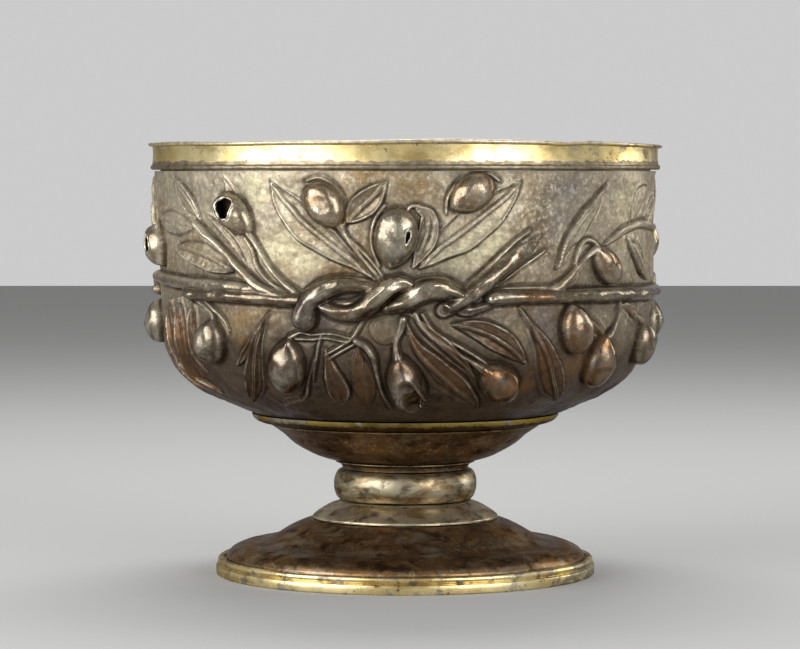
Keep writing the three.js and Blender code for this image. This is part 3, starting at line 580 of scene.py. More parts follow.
OLIVES = {
    "olive_edge_left": dict(stem=(-74, 32), tip=(-80, 19), width=9.5, rise=4.1, holes=[(0.1, 0.1, 4.2, 6)],
        seed=3),
    "olive_edge_low": dict(stem=(-84, 44), tip=(-86, 59), width=9.5, rise=4.2, seed=5),
    "olive_left_torn": dict(stem=(-35.4, 19.7), tip=(-44.6, 8.6), width=7.8, rise=3.9, rust=0.4, dusk=0.2,
        holes=[(0.12, 0.3, 5, 5.2)], seed=2),
    "olive_left_low": dict(stem=(-47.4, 49), tip=(-51, 63.4), width=8.9, rise=4.3, seed=7, dusk=0.2, rust=0.2),
    "olive_first": dict(stem=(-13.9, 17.8), tip=(-20.8, 4.4), width=8.6, rise=4.2, seed=11, flat=0.9, rust=0.6,
        dusk=0.2),
    "olive_middle": dict(stem=(-3.4, 31.4), tip=(-0.9, 12.1), width=9.8, rise=3.8, dusk=0.45,
        holes=[(0.52, 0.15, 1.2, 3.0)], seed=13),
    "olive_low_left": dict(stem=(-26, 54.6), tip=(-30, 73.2), width=8.8, rise=4.2, seed=17, dusk=0.6, rust=0.2,
        collar=0.7),
    "olive_crushed": dict(stem=(-1.6, 59.7), tip=(1.9, 82), width=8.3, rise=4.0,
        hollow=(-0.12, 0.25, 0.6, 0.64), holes=[(0.62, 0.46, 0.9, 2.6), (-0.74, 0.58, 1.4, 3.4)], seed=19,
        dusk=0.7, rust=0.2),
    "olive_right_upper": dict(stem=(9.6, 11.9), tip=(18.5, 2.6), width=8.0, rise=3.9, seed=23, flat=0.92,
        rust=0.7, dusk=0.25),
    "olive_low_right": dict(stem=(17.6, 63.1), tip=(27, 76), width=8.6, rise=4.2, seed=29, rust=1, dusk=0.5,
        collar=0.6),
    "olive_right": dict(stem=(39, 43.2), tip=(42.9, 59.8), width=8.8, rise=4.2, seed=31, rust=0.7, dusk=0.2),
    "olive_right_small": dict(stem=(45.9, 25.6), tip=(55, 36.2), width=6.9, rise=3.6, seed=37, rust=0.6),
    "olive_right_low": dict(stem=(49.8, 54), tip=(51.9, 72.6), width=9, rise=4.2, seed=41, rust=1, dusk=0.3,
        collar=0.5),
    "olive_edge_right": dict(stem=(70, 51), tip=(73, 65.5), width=9, rise=4.2, seed=43, rust=0.2),
}


# Patches of tarnish as (place, width, height, amount)
TARNISH = {
    "yellow": [((-28.1, 24.3), 12, 9), ((-34.4, 6.8), 7, 10), ((13.9, 28), 12, 6), ((18.7, 21.6), 8, 8),
        ((-22.6, 29.4), 9, 5), ((35, 6), 8, 7, 0.5), ((60, 12), 11, 16, 0.6)],
    "violet": [((37.6, 6.2), 13, 9, 0.8), ((34.5, 16.2), 7, 10, 0.7), ((-20, 45), 10, 7, 0.5),
        ((15.3, 44.8), 10, 5, 0.6), ((31.8, 50.5), 6, 9, 0.5), ((-43.3, 94), 14, 5, 0.9), ((46, 83), 7, 8, 0.9),
        ((46, 94), 16, 6), ((-64, 92), 12, 6, 0.8), ((66, 90), 12, 7, 0.8)],
    "gold": [((-7.1, 1.2), 14, 4), ((2, 6), 8, 7, 0.8), ((-9.1, 24.1), 6, 8, 0.5), ((-14.6, 32.2), 12, 3, 0.9),
        ((-39.4, 48.8), 10, 5, 0.8), ((-76.9, 35.9), 12, 4, 0.6), ((21.8, 30.4), 9, 5, 0.5),
        ((-12.9, 14.1), 4, 5, 0.5)],
    "dusk": [((30.1, 15.9), 8, 14, 0.7), ((33, 8.1), 8, 8, 0.6), ((29, 25.6), 10, 8, 0.6),
        ((20, 46), 16, 5, 0.6), ((-34, 62), 9, 14, 0.8), ((-14, 70), 16, 16, 0.8), ((34, 74), 12, 12, 0.7),
        ((-52, 72), 14, 10, 0.8)],
    "rust": [((-15.2, 77.6), 6, 8, 0.5), ((39.2, 67.1), 6, 9, 0.8), ((43.6, 63.6), 6, 6, 0.8),
        ((29.6, 70.9), 4, 8, 0.7), ((28, 41), 12, 5, 0.9), ((-61, 62), 5, 16, 0.6)],
}


def chase_casing():
    """Raises all the forms of the front, repeats them at the back, and finishes the ground between them"""
    for shape in LEAVES.values():
        leaf(**shape)
    for shape in [*STALKS.values(), *BOUGHS.values()]:
        bough(**shape)
    for shape in OLIVES.values():
        olive(**shape)
    worn_disc((-4.5, 51.2), 4, 0.3)
    for name, patches in TARNISH.items():
        for place in patches:
            tarnish(name, *place)
    for name, grid in sheet.items():
        behind = np.roll(grid, COLUMNS // 2, axis=1)
        sheet[name] = np.minimum(grid, behind) if name == "clear" else np.maximum(grid, behind)
    clear = sheet["clear"]
    ends = np.clip(DOWN / GROUND_FADE, 0, 1) * np.clip((WALL_LENGTH - DOWN) / GROUND_FADE, 0, 1)
    ground = sum(high * rough(size, seed) for high, size, seed in GROUND)
    pits = np.clip(rough(0.34, 9) - 1.5, 0, 1.2) * np.clip(rough(3, 10), 0, 1)
    form = np.clip(-clear / 0.6, 0, 1)
    chased_line = 0.32 * bell(clear - 0.25, 0.3) * (clear > -0.1)
    marks = ground * (1 - 0.75 * form) - chased_line - 0.1 * pits + 0.025 * DINTS * form
    sheet["height"] += marks * ends[:, None]
    angle = np.radians(AROUND)
    room = np.minimum(CASING_REACH[0] / np.maximum(np.abs(np.sin(angle)), 0.01),
                      CASING_REACH[1] / np.maximum(np.abs(np.cos(angle)), 0.01))
    highest = (room - RADIUS[:, None] - 0.02) / np.maximum(OUT, 0.3)[:, None]
    sheet["height"] = np.minimum(sheet["height"], highest)


def wall_points(lift):
    """Points over the wall for a grid of heights, in metres"""
    angle = np.radians(AROUND)
    reach = RADIUS[:, None] + OUT[:, None] * lift
    height = HEIGHT[:, None] + UP[:, None] * lift
    return np.stack([reach * np.sin(angle), -reach * np.cos(angle), height], axis=2) * MM


def outward(points):
    """The directions in which a grid of points over the wall faces"""
    downwards = np.gradient(points, axis=0)
    sideways = np.roll(points, -1, axis=1) - np.roll(points, 1, axis=1)
    normals = np.cross(downwards, sideways)
    return normals / np.linalg.norm(normals, axis=2, keepdims=True)


def store(piece, **values):
    """Stores a value for each point of a piece, which its finish reads"""
    for name, numbers in values.items():
        attribute = piece.data.attributes.new(name, "FLOAT", "POINT")
        attribute.data.foreach_set("value", np.ascontiguousarray(numbers, dtype=np.float32).ravel())


def casing_face(name, quarter, points, normals, marks):
    """A quarter of the casing's face: a flat grid with its torn places cut out, then bent round and raised"""
    deselect()
    bpy.ops.mesh.primitive_grid_add(x_subdivisions=QUARTER, y_subdivisions=ROWS - 1, size=2)
    piece = keep(name)

    def places():
        flat = np.empty(len(piece.data.vertices) * 3)
        piece.data.vertices.foreach_get("co", flat)
        x, y, _ = flat.reshape(-1, 3).T
        column = np.rint((x + 1) / 2 * QUARTER).astype(int) + QUARTER * quarter + QUARTER // 2
        return np.rint((1 - y) / 2 * (ROWS - 1)).astype(int), column % COLUMNS

    cut = sheet["torn"][places()]
    if cut.any():
        piece.data.edges.foreach_set("select", np.zeros(len(piece.data.edges), bool))
        piece.data.polygons.foreach_set("select", np.zeros(len(piece.data.polygons), bool))
        piece.data.vertices.foreach_set("select", cut)
        bpy.ops.object.mode_set(mode="EDIT")
        bpy.ops.mesh.delete(type="VERT")
        bpy.ops.object.mode_set(mode="OBJECT")
    spots = places()
    piece.data.vertices.foreach_set("co", points[spots].ravel())
    bpy.ops.object.shade_smooth()
    piece.data.normals_split_custom_set_from_vertices(normals[spots])
    store(piece, **{mark: grid[spots] for mark, grid in marks.items()})
    return piece


def lift_at(degrees, down):
    """Height of the chased sheet at one place"""
    column, row = (degrees + 180) / 360 * COLUMNS, down / WALL_LENGTH * (ROWS - 1)
    return sheet["height"][int(round(row)), int(round(column)) % COLUMNS]


def torn_edges(turn, name):
    """The bright, thick edge of the metal round each tear"""
    room = (CASING_REACH - EDGE_ROOM) * MM
    pieces = []
    for outline in tears:
        slim = np.clip(np.ptp(outline[:, 0]) * degree_at(outline[0, 1]) / 3.5, 0.5, 1)
        curve = bpy.data.curves.new(name, "CURVE")
        curve.dimensions = "3D"
        curve.bevel_depth = EDGE_RADIUS * MM
        curve.bevel_resolution = 2
        line = curve.splines.new("POLY")
        line.points.add(len(outline) - 1)
        line.use_cyclic_u = True
        lifts = [lift_at(degrees + turn, down) for degrees, down in outline]
        lifts = np.convolve([*lifts[-2:], *lifts, *lifts[:2]], np.ones(5) / 5, "valid")
        for i, (point, (degrees, down), lift) in enumerate(zip(line.points, outline, lifts)):
            place = on_wall(degrees + turn, down, lift - EDGE_SINK)
            point.co = (*np.clip(place[:2], -room, room), place.z, 1)
            point.radius = slim * (1 + 0.25 * math.sin(i * 0.9))
        piece = bpy.data.objects.new(name, curve)
        bpy.context.collection.objects.link(piece)
        pieces.append(piece)
    deselect()
    for piece in pieces:
        piece.select_set(True)
    bpy.context.view_layer.objects.active = pieces[0]
    bpy.ops.object.convert(target="MESH")
    bpy.ops.object.join()
    piece = keep(name)
    edit(piece, point_outwards)
    smooth(piece, 60)
    return piece


def casing_core():
    """The back of the casing's sheet and its floor, seen through the tears"""
    rows = np.linspace(0, WALL_LENGTH, 26)
    walls = [wall_at(down) for down in rows]
    outside, inside = ([(radius - depth * out, height - depth * up) for radius, height, out, up in walls]
                       for depth in (CORE_OUTSIDE, CORE_INSIDE))
    low, high = FLOOR_HEIGHT + 0.02, FLOOR_HEIGHT + CASING_SHEET
    outline = [*outside, (FLOOR_RADIUS, low), (20, low), (0, low), (0, high), (20, high),
               (FLOOR_RADIUS - 1, high), *inside[::-1]]
    return turned("casing_core", [(radius, min(height, WALL_TOP)) for radius, height in outline], 180)


def mark_wear(piece):
    """Stores how keenly a turned piece's surface bends at each point"""
    mesh = piece.data
    points = np.empty(len(mesh.vertices) * 3)
    mesh.vertices.foreach_get("co", points)
    points = points.reshape(-1, 3)
    normals = np.array([vertex.normal[:] for vertex in mesh.vertices])
    ends = np.empty(len(mesh.edges) * 2, int)
    mesh.edges.foreach_get("vertices", ends)
    first, second = ends.reshape(-1, 2).T
    run = points[second] - points[first]
    length = np.maximum(np.linalg.norm(run, axis=1), 1e-6)
    bends, edges = np.zeros(len(points)), np.zeros(len(points))
    np.add.at(bends, first, -np.einsum("ij,ij->i", run, normals[first]) / length)
    np.add.at(bends, second, np.einsum("ij,ij->i", run, normals[second]) / length)
    np.add.at(edges, first, 1)
    np.add.at(edges, second, 1)
    store(piece, ridge=bends / np.maximum(edges, 1))


# Shader helpers

def tint(code):
    """A screen colour such as b9a06c as the linear colour that a shader takes"""
    parts = [int(code[i:i + 2], 16) / 255 for i in (0, 2, 4)]
    return (*(part / 12.92 if part <= 0.04045 else ((part + 0.055) / 1.055) ** 2.4 for part in parts), 1)


def put(tree, value, socket):
    """Links a socket to another one, or sets it to a value"""
    if isinstance(value, bpy.types.NodeSocket):
        tree.links.new(value, socket)
    else:
        socket.default_value = value


def add_node(tree, kind, settings=None, **inputs):
    """Adds a node with its inputs put in. i0 is the first input, and names use _ for a space."""
    made = tree.nodes.new(kind)
    for name, value in (settings or {}).items():
        setattr(made, name, value)
    for name, value in inputs.items():
        numbered = name[0] == "i" and name[1:].isdigit()
        put(tree, value, made.inputs[int(name[1:]) if numbered else name.replace("_", " ")])
    return made


def maths(tree, operation, first, second):
    return add_node(tree, "ShaderNodeMath", {"operation": operation}, i0=first, i1=second).outputs[0]


def plus(tree, first, second):
    return maths(tree, "ADD", first, second)


def minus(tree, first, second):
    return maths(tree, "SUBTRACT", first, second)


def times(tree, first, second):
    return maths(tree, "MULTIPLY", first, second)


def larger(tree, first, second):
    return maths(tree, "MAXIMUM", first, second)


def blend(tree, factor, first, second):
    """Mixes two colours"""
    return add_node(tree, "ShaderNodeMix", {"data_type": "RGBA"}, i0=factor, i6=first, i7=second).outputs[2]


def span(tree, value, low, high, to_low=0.0, to_high=1.0):
    """A soft step of a value between two levels"""
    made = add_node(tree, "ShaderNodeMapRange", {"interpolation_type": "SMOOTHSTEP"}, i0=value, i1=low, i2=high,
                    i3=to_low, i4=to_high)
    return made.outputs[0]


def place_on_object(tree):
    return add_node(tree, "ShaderNodeTexCoord").outputs["Object"]


def noise_at(tree, place, scale, detail, fineness, **more):
    made = add_node(tree, "ShaderNodeTexNoise", {"noise_dimensions": "4D"} if more else None, Vector=place,
                    Scale=scale, Detail=detail, Roughness=fineness, **more)
    return made.outputs["Fac"]


def new_group(name, inputs, output):
    """A node group with number inputs of the given usual values, and one output"""
    tree = bpy.data.node_groups.new(name, "ShaderNodeTree")
    for label, value in inputs.items():
        tree.interface.new_socket(label, in_out="INPUT", socket_type="NodeSocketFloat").default_value = value
    tree.interface.new_socket(output, in_out="OUTPUT", socket_type="NodeSocketFloat")
    return tree, tree.nodes.new("NodeGroupInput").outputs, tree.nodes.new("NodeGroupOutput").inputs


def blotches_group():
    """Cloudy stains: a mask whose size, amount and softness are set where it is used"""
    tree, given, results = new_group("stains", {"Size": 0.01, "Amount": 0.5, "Softness": 0.1, "Seed": 0.0,
                                                "Stretch": 1.0}, "Mask")
    squeeze = add_node(tree, "ShaderNodeCombineXYZ", i0=1.0, i1=1.0, i2=given["Stretch"]).outputs[0]
    place = add_node(tree, "ShaderNodeVectorMath", {"operation": "MULTIPLY"}, i0=place_on_object(tree),
                     i1=squeeze)
    clouds = noise_at(tree, place.outputs[0], maths(tree, "DIVIDE", 1.0, given["Size"]), 7.0, 0.62,
                      W=given["Seed"], Distortion=0.4)
    level = minus(tree, 1.0, given["Amount"])
    middle = add_node(tree, "ShaderNodeMapRange", i0=level, i1=0.0, i2=1.0, i3=0.28, i4=0.72).outputs[0]
    low, high = minus(tree, middle, given["Softness"]), plus(tree, middle, given["Softness"])
    tree.links.new(span(tree, clouds, low, high), results["Mask"])
    return tree


def tooling_group():
    """Fine unevenness of old hand-worked silver: pits, faint scratches and grain, as a height"""
    tree, given, results = new_group("tooling", {"Pits": 1.0, "Grain": 1.0}, "Height")
    place = place_on_object(tree)
    coarse = noise_at(tree, place, 420.0, 6.0, 0.6)
    fine = noise_at(tree, place, 2600.0, 3.0, 0.7)
    cells = add_node(tree, "ShaderNodeTexVoronoi", {"feature": "F1"}, Vector=place, Scale=700.0)
    pits = span(tree, cells.outputs["Distance"], 0.0, 0.25, -1.0, 0.0)
    pits = times(tree, pits, span(tree, coarse, 0.55, 0.65))
    grain = plus(tree, coarse, times(tree, fine, 0.35))
    height = plus(tree, times(tree, pits, given["Pits"]), times(tree, grain, given["Grain"]))
    tree.links.new(height, results["Height"])
    return tree


STAINS = blotches_group()
TOOLING = tooling_group()


def stain(tree, size, amount, softness=0.08, seed=0.0, stretch=1.0):
    """Where stains of a size in millimetres lie"""
    made = add_node(tree, "ShaderNodeGroup", {"node_tree": STAINS}, Size=size * MM, Amount=amount,
                    Softness=softness, Seed=seed, Stretch=stretch)
    return made.outputs["Mask"]


def cloudy(tree, first, second, *stains):
    """One colour in clouds over another"""
    return blend(tree, stain(tree, *stains), tint(first), tint(second))


def stained(tree, color, code, share, *stains):
    """A colour with stains of another colour, which cover a share of it"""
    return blend(tree, times(tree, stain(tree, *stains), share), color, tint(code))


def uneven(tree, low, high, *stains):
    """A value that wanders between two levels"""
    return add_node(tree, "ShaderNodeMapRange", i0=stain(tree, *stains), i3=low, i4=high).outputs[0]


def mark(tree, name):
    """A value that the piece stores for each of its points"""
    return add_node(tree, "ShaderNodeAttribute", {"attribute_name": name}).outputs["Fac"]


def new_material(name):
    material = bpy.data.materials.new(name)
    material.use_nodes = True
    return material, material.node_tree


def finish_material(material, color, roughness, metallic, depth, pits, grain):
    """Puts the worked-out looks into the material's shader, with tooling of a depth in millimetres"""
    tree = material.node_tree
    shader = tree.nodes["Principled BSDF"]
    put(tree, color, shader.inputs["Base Color"])
    put(tree, roughness, shader.inputs["Roughness"])
    put(tree, metallic, shader.inputs["Metallic"])
    shader.inputs["Specular Tint"].default_value = tint("a09a9c")
    height = add_node(tree, "ShaderNodeGroup", {"node_tree": TOOLING}, Pits=pits, Grain=grain).outputs["Height"]
    bump = add_node(tree, "ShaderNodeBump", Strength=0.5, Distance=depth * MM, Height=height)
    tree.links.new(bump.outputs["Normal"], shader.inputs["Normal"])
    return material


# How each tarnish looks: the size of its stains, how much of its patches they cover, their share and colour
TARNISH_LOOKS = (
    ("yellow", 5, 0.75, 0.74, "c6bf9a"), ("violet", 6, 0.85, 0.9, "6b646c"), ("gold", 4, 0.7, 0.85, "8d6d38"),
    ("dusk", 5, 0.74, 0.85, "3b2e25"), ("rust", 4, 0.55, 0.85, "84561f"),
)


def relief_silver():
    """Chased silver: pale and warm above, brown below, dark round the forms and in creases, and light on their
    ridges and high tops. The dark is patina in the hollows together with painted shade, and the light is rubbed
    metal together with a painted highlight.
    """
    material, tree = new_material("chased_silver")
    height = add_node(tree, "ShaderNodeSeparateXYZ", i0=place_on_object(tree)).outputs["Z"]
    lift, ridge = mark(tree, "lift"), mark(tree, "ridge")
    drift = times(tree, minus(tree, stain(tree, 26, 0.5, 0.3, 2.0), 0.5), 0.012)
    upper = span(tree, plus(tree, height, drift), 0.049, 0.086)
    pale = cloudy(tree, "a0937c", "b5ab92", 22, 0.5, 0.12, 5.0)
    pale = stained(tree, pale, "8b8072", 0.7, 9, 0.42, 0.1, 7.0)
    pale = stained(tree, pale, "87704b", 0.6, 14, 0.34, 0.08, 8.0)
    dark = cloudy(tree, "33281f", "4a3d32", 16, 0.5, 0.12, 12.0)
    dark = stained(tree, dark, "665540", 0.6, 8, 0.4, 0.07, 14.0)
    color = blend(tree, upper, dark, pale)
    for name, size, amount, share, code in TARNISH_LOOKS:
        patches = times(tree, mark(tree, name), stain(tree, size, amount, 0.16, 60.0 + len(name)))
        color = blend(tree, times(tree, patches, share), color, tint(code))
    leafy = times(tree, mark(tree, "blade"), minus(tree, 1.0, upper))
    leafy = times(tree, leafy, stain(tree, 12, 0.62, 0.12, 16.0))
    color = blend(tree, times(tree, leafy, 0.7), color, tint("4c3625"))
    color = stained(tree, color, "665a4a", 0.3, 2.2, 0.45, 0.1, 18.0)
    color = stained(tree, color, "5a4d3e", 0.3, 0.7, 0.45, 0.08, 20.0)
    flecks = times(tree, stain(tree, 1.1, 0.36, 0.06, 19.0), upper)
    color = blend(tree, times(tree, flecks, 0.32), color, tint("ded8c4"))
    # Painted shade: darkening in a band round every raised form, at the foot of high forms and in creases,
    # mixed with the patina that gathers there
    foot = times(tree, span(tree, mark(tree, "hollow"), -0.15, -0.9), 0.5)
    crease = times(tree, span(tree, ridge, -0.05, -0.2), 0.85)
    grime_and_shade = larger(tree, times(tree, mark(tree, "near"), 0.75), larger(tree, foot, crease))
    grime_and_shade = times(tree, grime_and_shade, plus(tree, 0.35, times(tree, stain(tree, 5, 0.6, 0.2, 21.0), 0.65)))
    color = blend(tree, grime_and_shade, color, tint("2b2017"))
    # Painted highlight: the ridges and the tops of high forms are lightened, partly as silver rubbed bright and
    # partly as a painted highlight; rust holds the lightening back
    keen = plus(tree, 0.1, times(tree, stain(tree, 4, 0.45, 0.12, 25.0), 0.9))
    keen = times(tree, span(tree, ridge, 0.08, 0.26), keen)
    keen = times(tree, keen, plus(tree, 0.5, times(tree, upper, 0.5)))
    top = times(tree, span(tree, lift, 2.4, 3.8), stain(tree, 5, 0.5, 0.1, 27.0))
    clean_and_sheen = minus(tree, 0.66, times(tree, mark(tree, "rust"), 0.42))
    bright = larger(tree, keen, times(tree, top, clean_and_sheen))
    color = blend(tree, times(tree, bright, 0.66), color, tint("dcd4c0"))
    raised = span(tree, lift, 0.8, 2.2)
    polish = times(tree, larger(tree, bright, raised), 0.2)
    rough = minus(tree, uneven(tree, 0.36, 0.52, 6, 0.5, 0.2, 31.0), polish)
    rough = plus(tree, rough, times(tree, grime_and_shade, 0.15))
    metal = plus(tree, 0.6, times(tree, raised, 0.35))
    shader = tree.nodes["Principled BSDF"]
    tree.links.new(times(tree, raised, 0.3), shader.inputs["Coat Weight"])
    shader.inputs["Coat Roughness"].default_value = 0.16
    return finish_material(material, color, rough, metal, 0.2, 1.0, 1.0)


def plain_silver(name, code, roughness):
    """Silver of one colour, for the torn edges and for the back of the casing's sheet"""
    material, tree = new_material(name)
    color = cloudy(tree, code, "8a7d69", 3, 0.5, 0.15, 90.0)
    return finish_material(material, color, roughness, 0.95, 0.1, 0.5, 0.5)


def brown_silver(name, seed, codes, pale):
    """Silver under a brown varnish-like patina, smeared round the cup and worn to the metal in places"""
    material, tree = new_material(name)
    color = cloudy(tree, codes[0], codes[1], 15, 0.5, 0.2, seed, 3.4)
    color = stained(tree, color, codes[2], 0.8, 9, 0.42, 0.12, seed + 3, 4.0)
    color = stained(tree, color, codes[3], 0.7, 7, pale, 0.08, seed + 6, 3.6)
    color = stained(tree, color, "a79c86", 0.6, 1.2, 0.3, 0.05, seed + 8)
    color = stained(tree, color, "231a14", 0.7, 4, 0.34, 0.08, seed + 10, 1.6)
    worn = times(tree, span(tree, mark(tree, "ridge"), 0.02, 0.1), stain(tree, 3, 0.5, 0.12, seed + 12))
    color = blend(tree, times(tree, worn, 0.75), color, tint("c3b797"))
    rough = uneven(tree, 0.26, 0.44, 5, 0.5, 0.2, seed + 15)
    return finish_material(material, color, rough, 0.9, 0.12, 1.0, 0.5)


def worn_gilding(name, seed, codes, wear, wear_left=0.0, wear_right=0.0, bands=()):
    """Gilding rubbed through to the silver, with more wear at the left and right of the cup, and with bands of
    other colours as (height, whether the band lies above it, colour, colour of its stains)"""
    material, tree = new_material(name)
    places = add_node(tree, "ShaderNodeSeparateXYZ", i0=place_on_object(tree)).outputs
    gold = cloudy(tree, codes[0], codes[1], 20, 0.5, 0.14, seed, 2.0)
    gold = stained(tree, gold, codes[2], 0.6, 6, 0.36, 0.06, seed + 2, 2.0)
    right = times(tree, span(tree, places["X"], 0.024, 0.05), wear_right)
    left = times(tree, span(tree, places["X"], -0.012, -0.03), wear_left)
    amount = plus(tree, wear, plus(tree, left, right))
    bare = stain(tree, 5, amount, 0.035, seed + 4, 1.6)
    silver = cloudy(tree, "6a6156", "a39b8c", 5, 0.5, 0.12, seed + 6)
    color = blend(tree, times(tree, bare, 0.85), gold, silver)
    drift = times(tree, minus(tree, stain(tree, 2.4, 0.5, 0.3, seed + 11), 0.5), 1.1 * MM)
    height = plus(tree, places["Z"], drift)
    dull = bare
    for level, above, code, other in bands:
        edge = (-0.15, 0.15) if above else (0.15, -0.15)
        band = span(tree, height, (level + edge[0]) * MM, (level + edge[1]) * MM)
        color = blend(tree, times(tree, band, 0.9), color, cloudy(tree, code, other, 1.6, 0.5, 0.12, seed + 13))
        dull = larger(tree, dull, band)
    color = stained(tree, color, "3c3024", 0.85, 1.3, 0.16, 0.03, seed + 8)
    rough = plus(tree, uneven(tree, 0.22, 0.36, 6, 0.5, 0.2, seed + 9), times(tree, dull, 0.14))
    return finish_material(material, color, rough, 0.96, 0.1, 0.8, 0.4)


def liner_silver():
    material, tree = new_material("liner_silver")
    color = cloudy(tree, "b4ac9b", "968b78", 25, 0.5, 0.2, 70.0)
    color = stained(tree, color, "6f5c41", 0.7, 10, 0.36, 0.08, 72.0)
    return finish_material(material, color, uneven(tree, 0.36, 0.52, 9, 0.5, 0.2, 75.0), 0.95, 0.1, 0.6, 0.6)


def dress(piece, material, slot, *nodes):
    """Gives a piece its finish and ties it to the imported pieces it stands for"""
    piece.data.materials.clear()
    piece.data.materials.append(material)
    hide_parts(*nodes)
    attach(piece, "root")


# Turned pieces, with each outline as (radius, height) points

STEM_BORE = 12.1
LINER_GAP = 0.45
LINER_SHEET = 1.1


def rim_band():
    foot, top = node_heights("rim_band")
    reach = node_radius("rim_band")
    face = smooth_path([(reach - 0.95, foot + 1.3), (reach - 1.08, foot + 2.6), (reach - 1.12, foot + 4.2),
                        (reach - 1.04, foot + 5.8)], 5)
    outline = [
        (60.2, foot), (reach - 1.0, foot), *arc((reach - 1.05, foot + 0.55), 0.55, -70, 65, 6),
        *map(tuple, face), (reach - 0.35, top - 1.02),
        *arc((reach - 0.48, top - 0.52), 0.48, -60, 80, 6),
        (reach - 2.6, top - 0.06), (58.7, top - 0.12), (58.25, top - 0.5), (58.3, top - 1), (60.1, top - 1.1),
    ]
    band = turned("rim_band_gilt", outline, 360)
    for vertex in band.data.vertices:
        angle = math.atan2(vertex.co.x, -vertex.co.y)
        high = max(0, (vertex.co.z / MM - foot) / (top - foot))
        wave = 0.16 * math.sin(2 * angle + 0.6) + 0.1 * math.sin(5 * angle + 1) + 0.07 * math.sin(11 * angle)
        droop = -0.75 * math.exp(-((angle - 1.35) / 0.4) ** 2) - 0.35 * math.exp(-((angle - 0.62) / 0.07) ** 2)
        vertex.co.z += high ** 2 * (wave - 0.33 + droop) * MM
        if high < 0.3:
            rough = noise.noise(vertex.co / (1.6 * MM)) + 0.6 * noise.noise(vertex.co / (0.7 * MM))
            vertex.co.z += 0.16 * rough * MM * (1 if vertex.co.z / MM > foot + 0.5 else 0)
    return band


def liner():
    foot, top = node_heights("liner_bowl")
    gap = CASING_SHEET + LINER_GAP
    walls = [wall_at(down) for down in np.linspace(1.2, WALL_LENGTH, 40)]
    outside, inside = ([(radius - depth * out, height - depth * up) for radius, height, out, up in walls]
                       for depth in (gap, gap + LINER_SHEET))
    slope = (WALL_TOP_RADIUS - KNEE_RADIUS) / (WALL_TOP - FLOOR_HEIGHT - KNEE_RISE)
    rise = top - outside[0][1]
    outside.insert(0, (outside[0][0] + rise * slope, top))
    inside.insert(0, (inside[0][0] + rise * slope, top))
    floor = foot + LINER_SHEET
    bowl = turned("liner_silver", [*outside, (20, foot), (0, foot), (0, floor), (20, floor), *inside[::-1]])
    dent(bowl, 14, 0.2, 3)
    return bowl


def fillet():
    foot, top = node_heights("gilt_fillet")
    reach = node_radius("gilt_fillet") - 0.1
    round_side = [(reach - 3.6 * (1 - math.cos(a)), top - 0.05 - 2.25 * math.sin(a))
                  for a in np.linspace(1.57, 0, 12)]
    piece = turned("fillet_gilt", [(29.2, foot + 0.05), *round_side, (29.2, top - 0.05)])
    dent(piece, 5, 0.06, 4)
    return piece


def dish():
    foot, top = node_heights("base_dish")
    side = smooth_path([(17.6, foot), (19.4, foot + 0.35), (22.6, foot + 1.5), (26.9, foot + 3.9),
                        (29.8, foot + 6.4), (33.3, top)], 8)
    inner = [(radius - 1.1, height + 0.9) for radius, height in side[::-1] if height + 0.9 < top][:-6]
    outline = [(0.0, foot), (9, foot), *map(tuple, side), (32.2, top), *inner, (9, foot + 1.3), (0, foot + 1.3)]
    piece = turned("dish_silver", outline)
    dent(piece, 9, 0.14, 5)
    return piece


def collar():
    foot, top = node_heights("neck_collar")
    side = smooth_path([(15.35, foot + 0.02), (15.5, foot + 0.5), (15.9, foot + 1.1), (16.9, foot + 1.5),
                        (17.05, top - 0.15), (16.8, top - 0.02)], 5)
    return turned("collar_silver", [(STEM_BORE, foot), *map(tuple, side), (STEM_BORE, top)])


def knop():
    foot, top = node_heights("stem_knop")
    middle, half = (foot + top) / 2, (top - foot) / 2
    swell = [(15.8 + 1.7 * math.cos(a), middle + half * math.sin(a)) for a in np.linspace(-1.5, 1.5, 22)]
    inner = [(14.3 + 1.3 * math.cos(a), middle + (half - 1.2) * math.sin(a))
             for a in np.linspace(1.4, -1.4, 12)]
    outline = [(STEM_BORE, foot + 0.01), *swell, (STEM_BORE, top - 0.01), (STEM_BORE, top - 1.2), *inner,
               (STEM_BORE, foot + 1.2)]
    piece = turned("knop_silver", outline)
    dent(piece, 7, 0.12, 6)
    return piece


def cone():
    foot, top = node_heights("foot_cone")
    side = smooth_path([(22.65, foot + 0.05), (22.5, foot + 0.6), (20.9, foot + 1.8), (18.6, foot + 3.1),
                        (16.7, foot + 3.8), (16.1, top - 0.05)], 6)
    inner = [(radius - 1.1, height - 0.75) for radius, height in side[::-1] if height - 0.75 > foot]
    outline = [*map(tuple, side), (STEM_BORE, top - 0.02), (STEM_BORE, top - 1.2), *inner, (21.3, foot + 0.02)]
    piece = turned("cone_silver", outline)
    dent(piece, 7, 0.1, 7)
    return piece


def dome():
    foot, top = node_heights("foot_dome")
    reach = node_radius("foot_dome")
    rise = top - foot
    swells = [(reach - 0.3, 0.09), (reach - 1.5, 0.22), (39.2, 0.36), (35.9, 0.39), (33.4, 0.46), (28.3, 0.78),
              (24.6, 0.95)]
    swells = [(radius, foot + share * rise) for radius, share in swells]
    side = smooth_path([(reach - 0.06, foot + 0.05), *swells, (23.2, top - 0.03)], 7)
    inner = [(radius - 0.5, height - 1.2) for radius, height in side[::-1] if height - 1.2 > foot + 0.02]
    outline = [*map(tuple, side), (19.1, top - 0.02), (19.1, top - 1.25), *inner, (reach - 1.5, foot + 0.02)]
    piece = turned("dome_silver", outline, 300)
    dent(piece, 11, 0.2, 8)
    dent(piece, 4, 0.05, 9)
    return piece


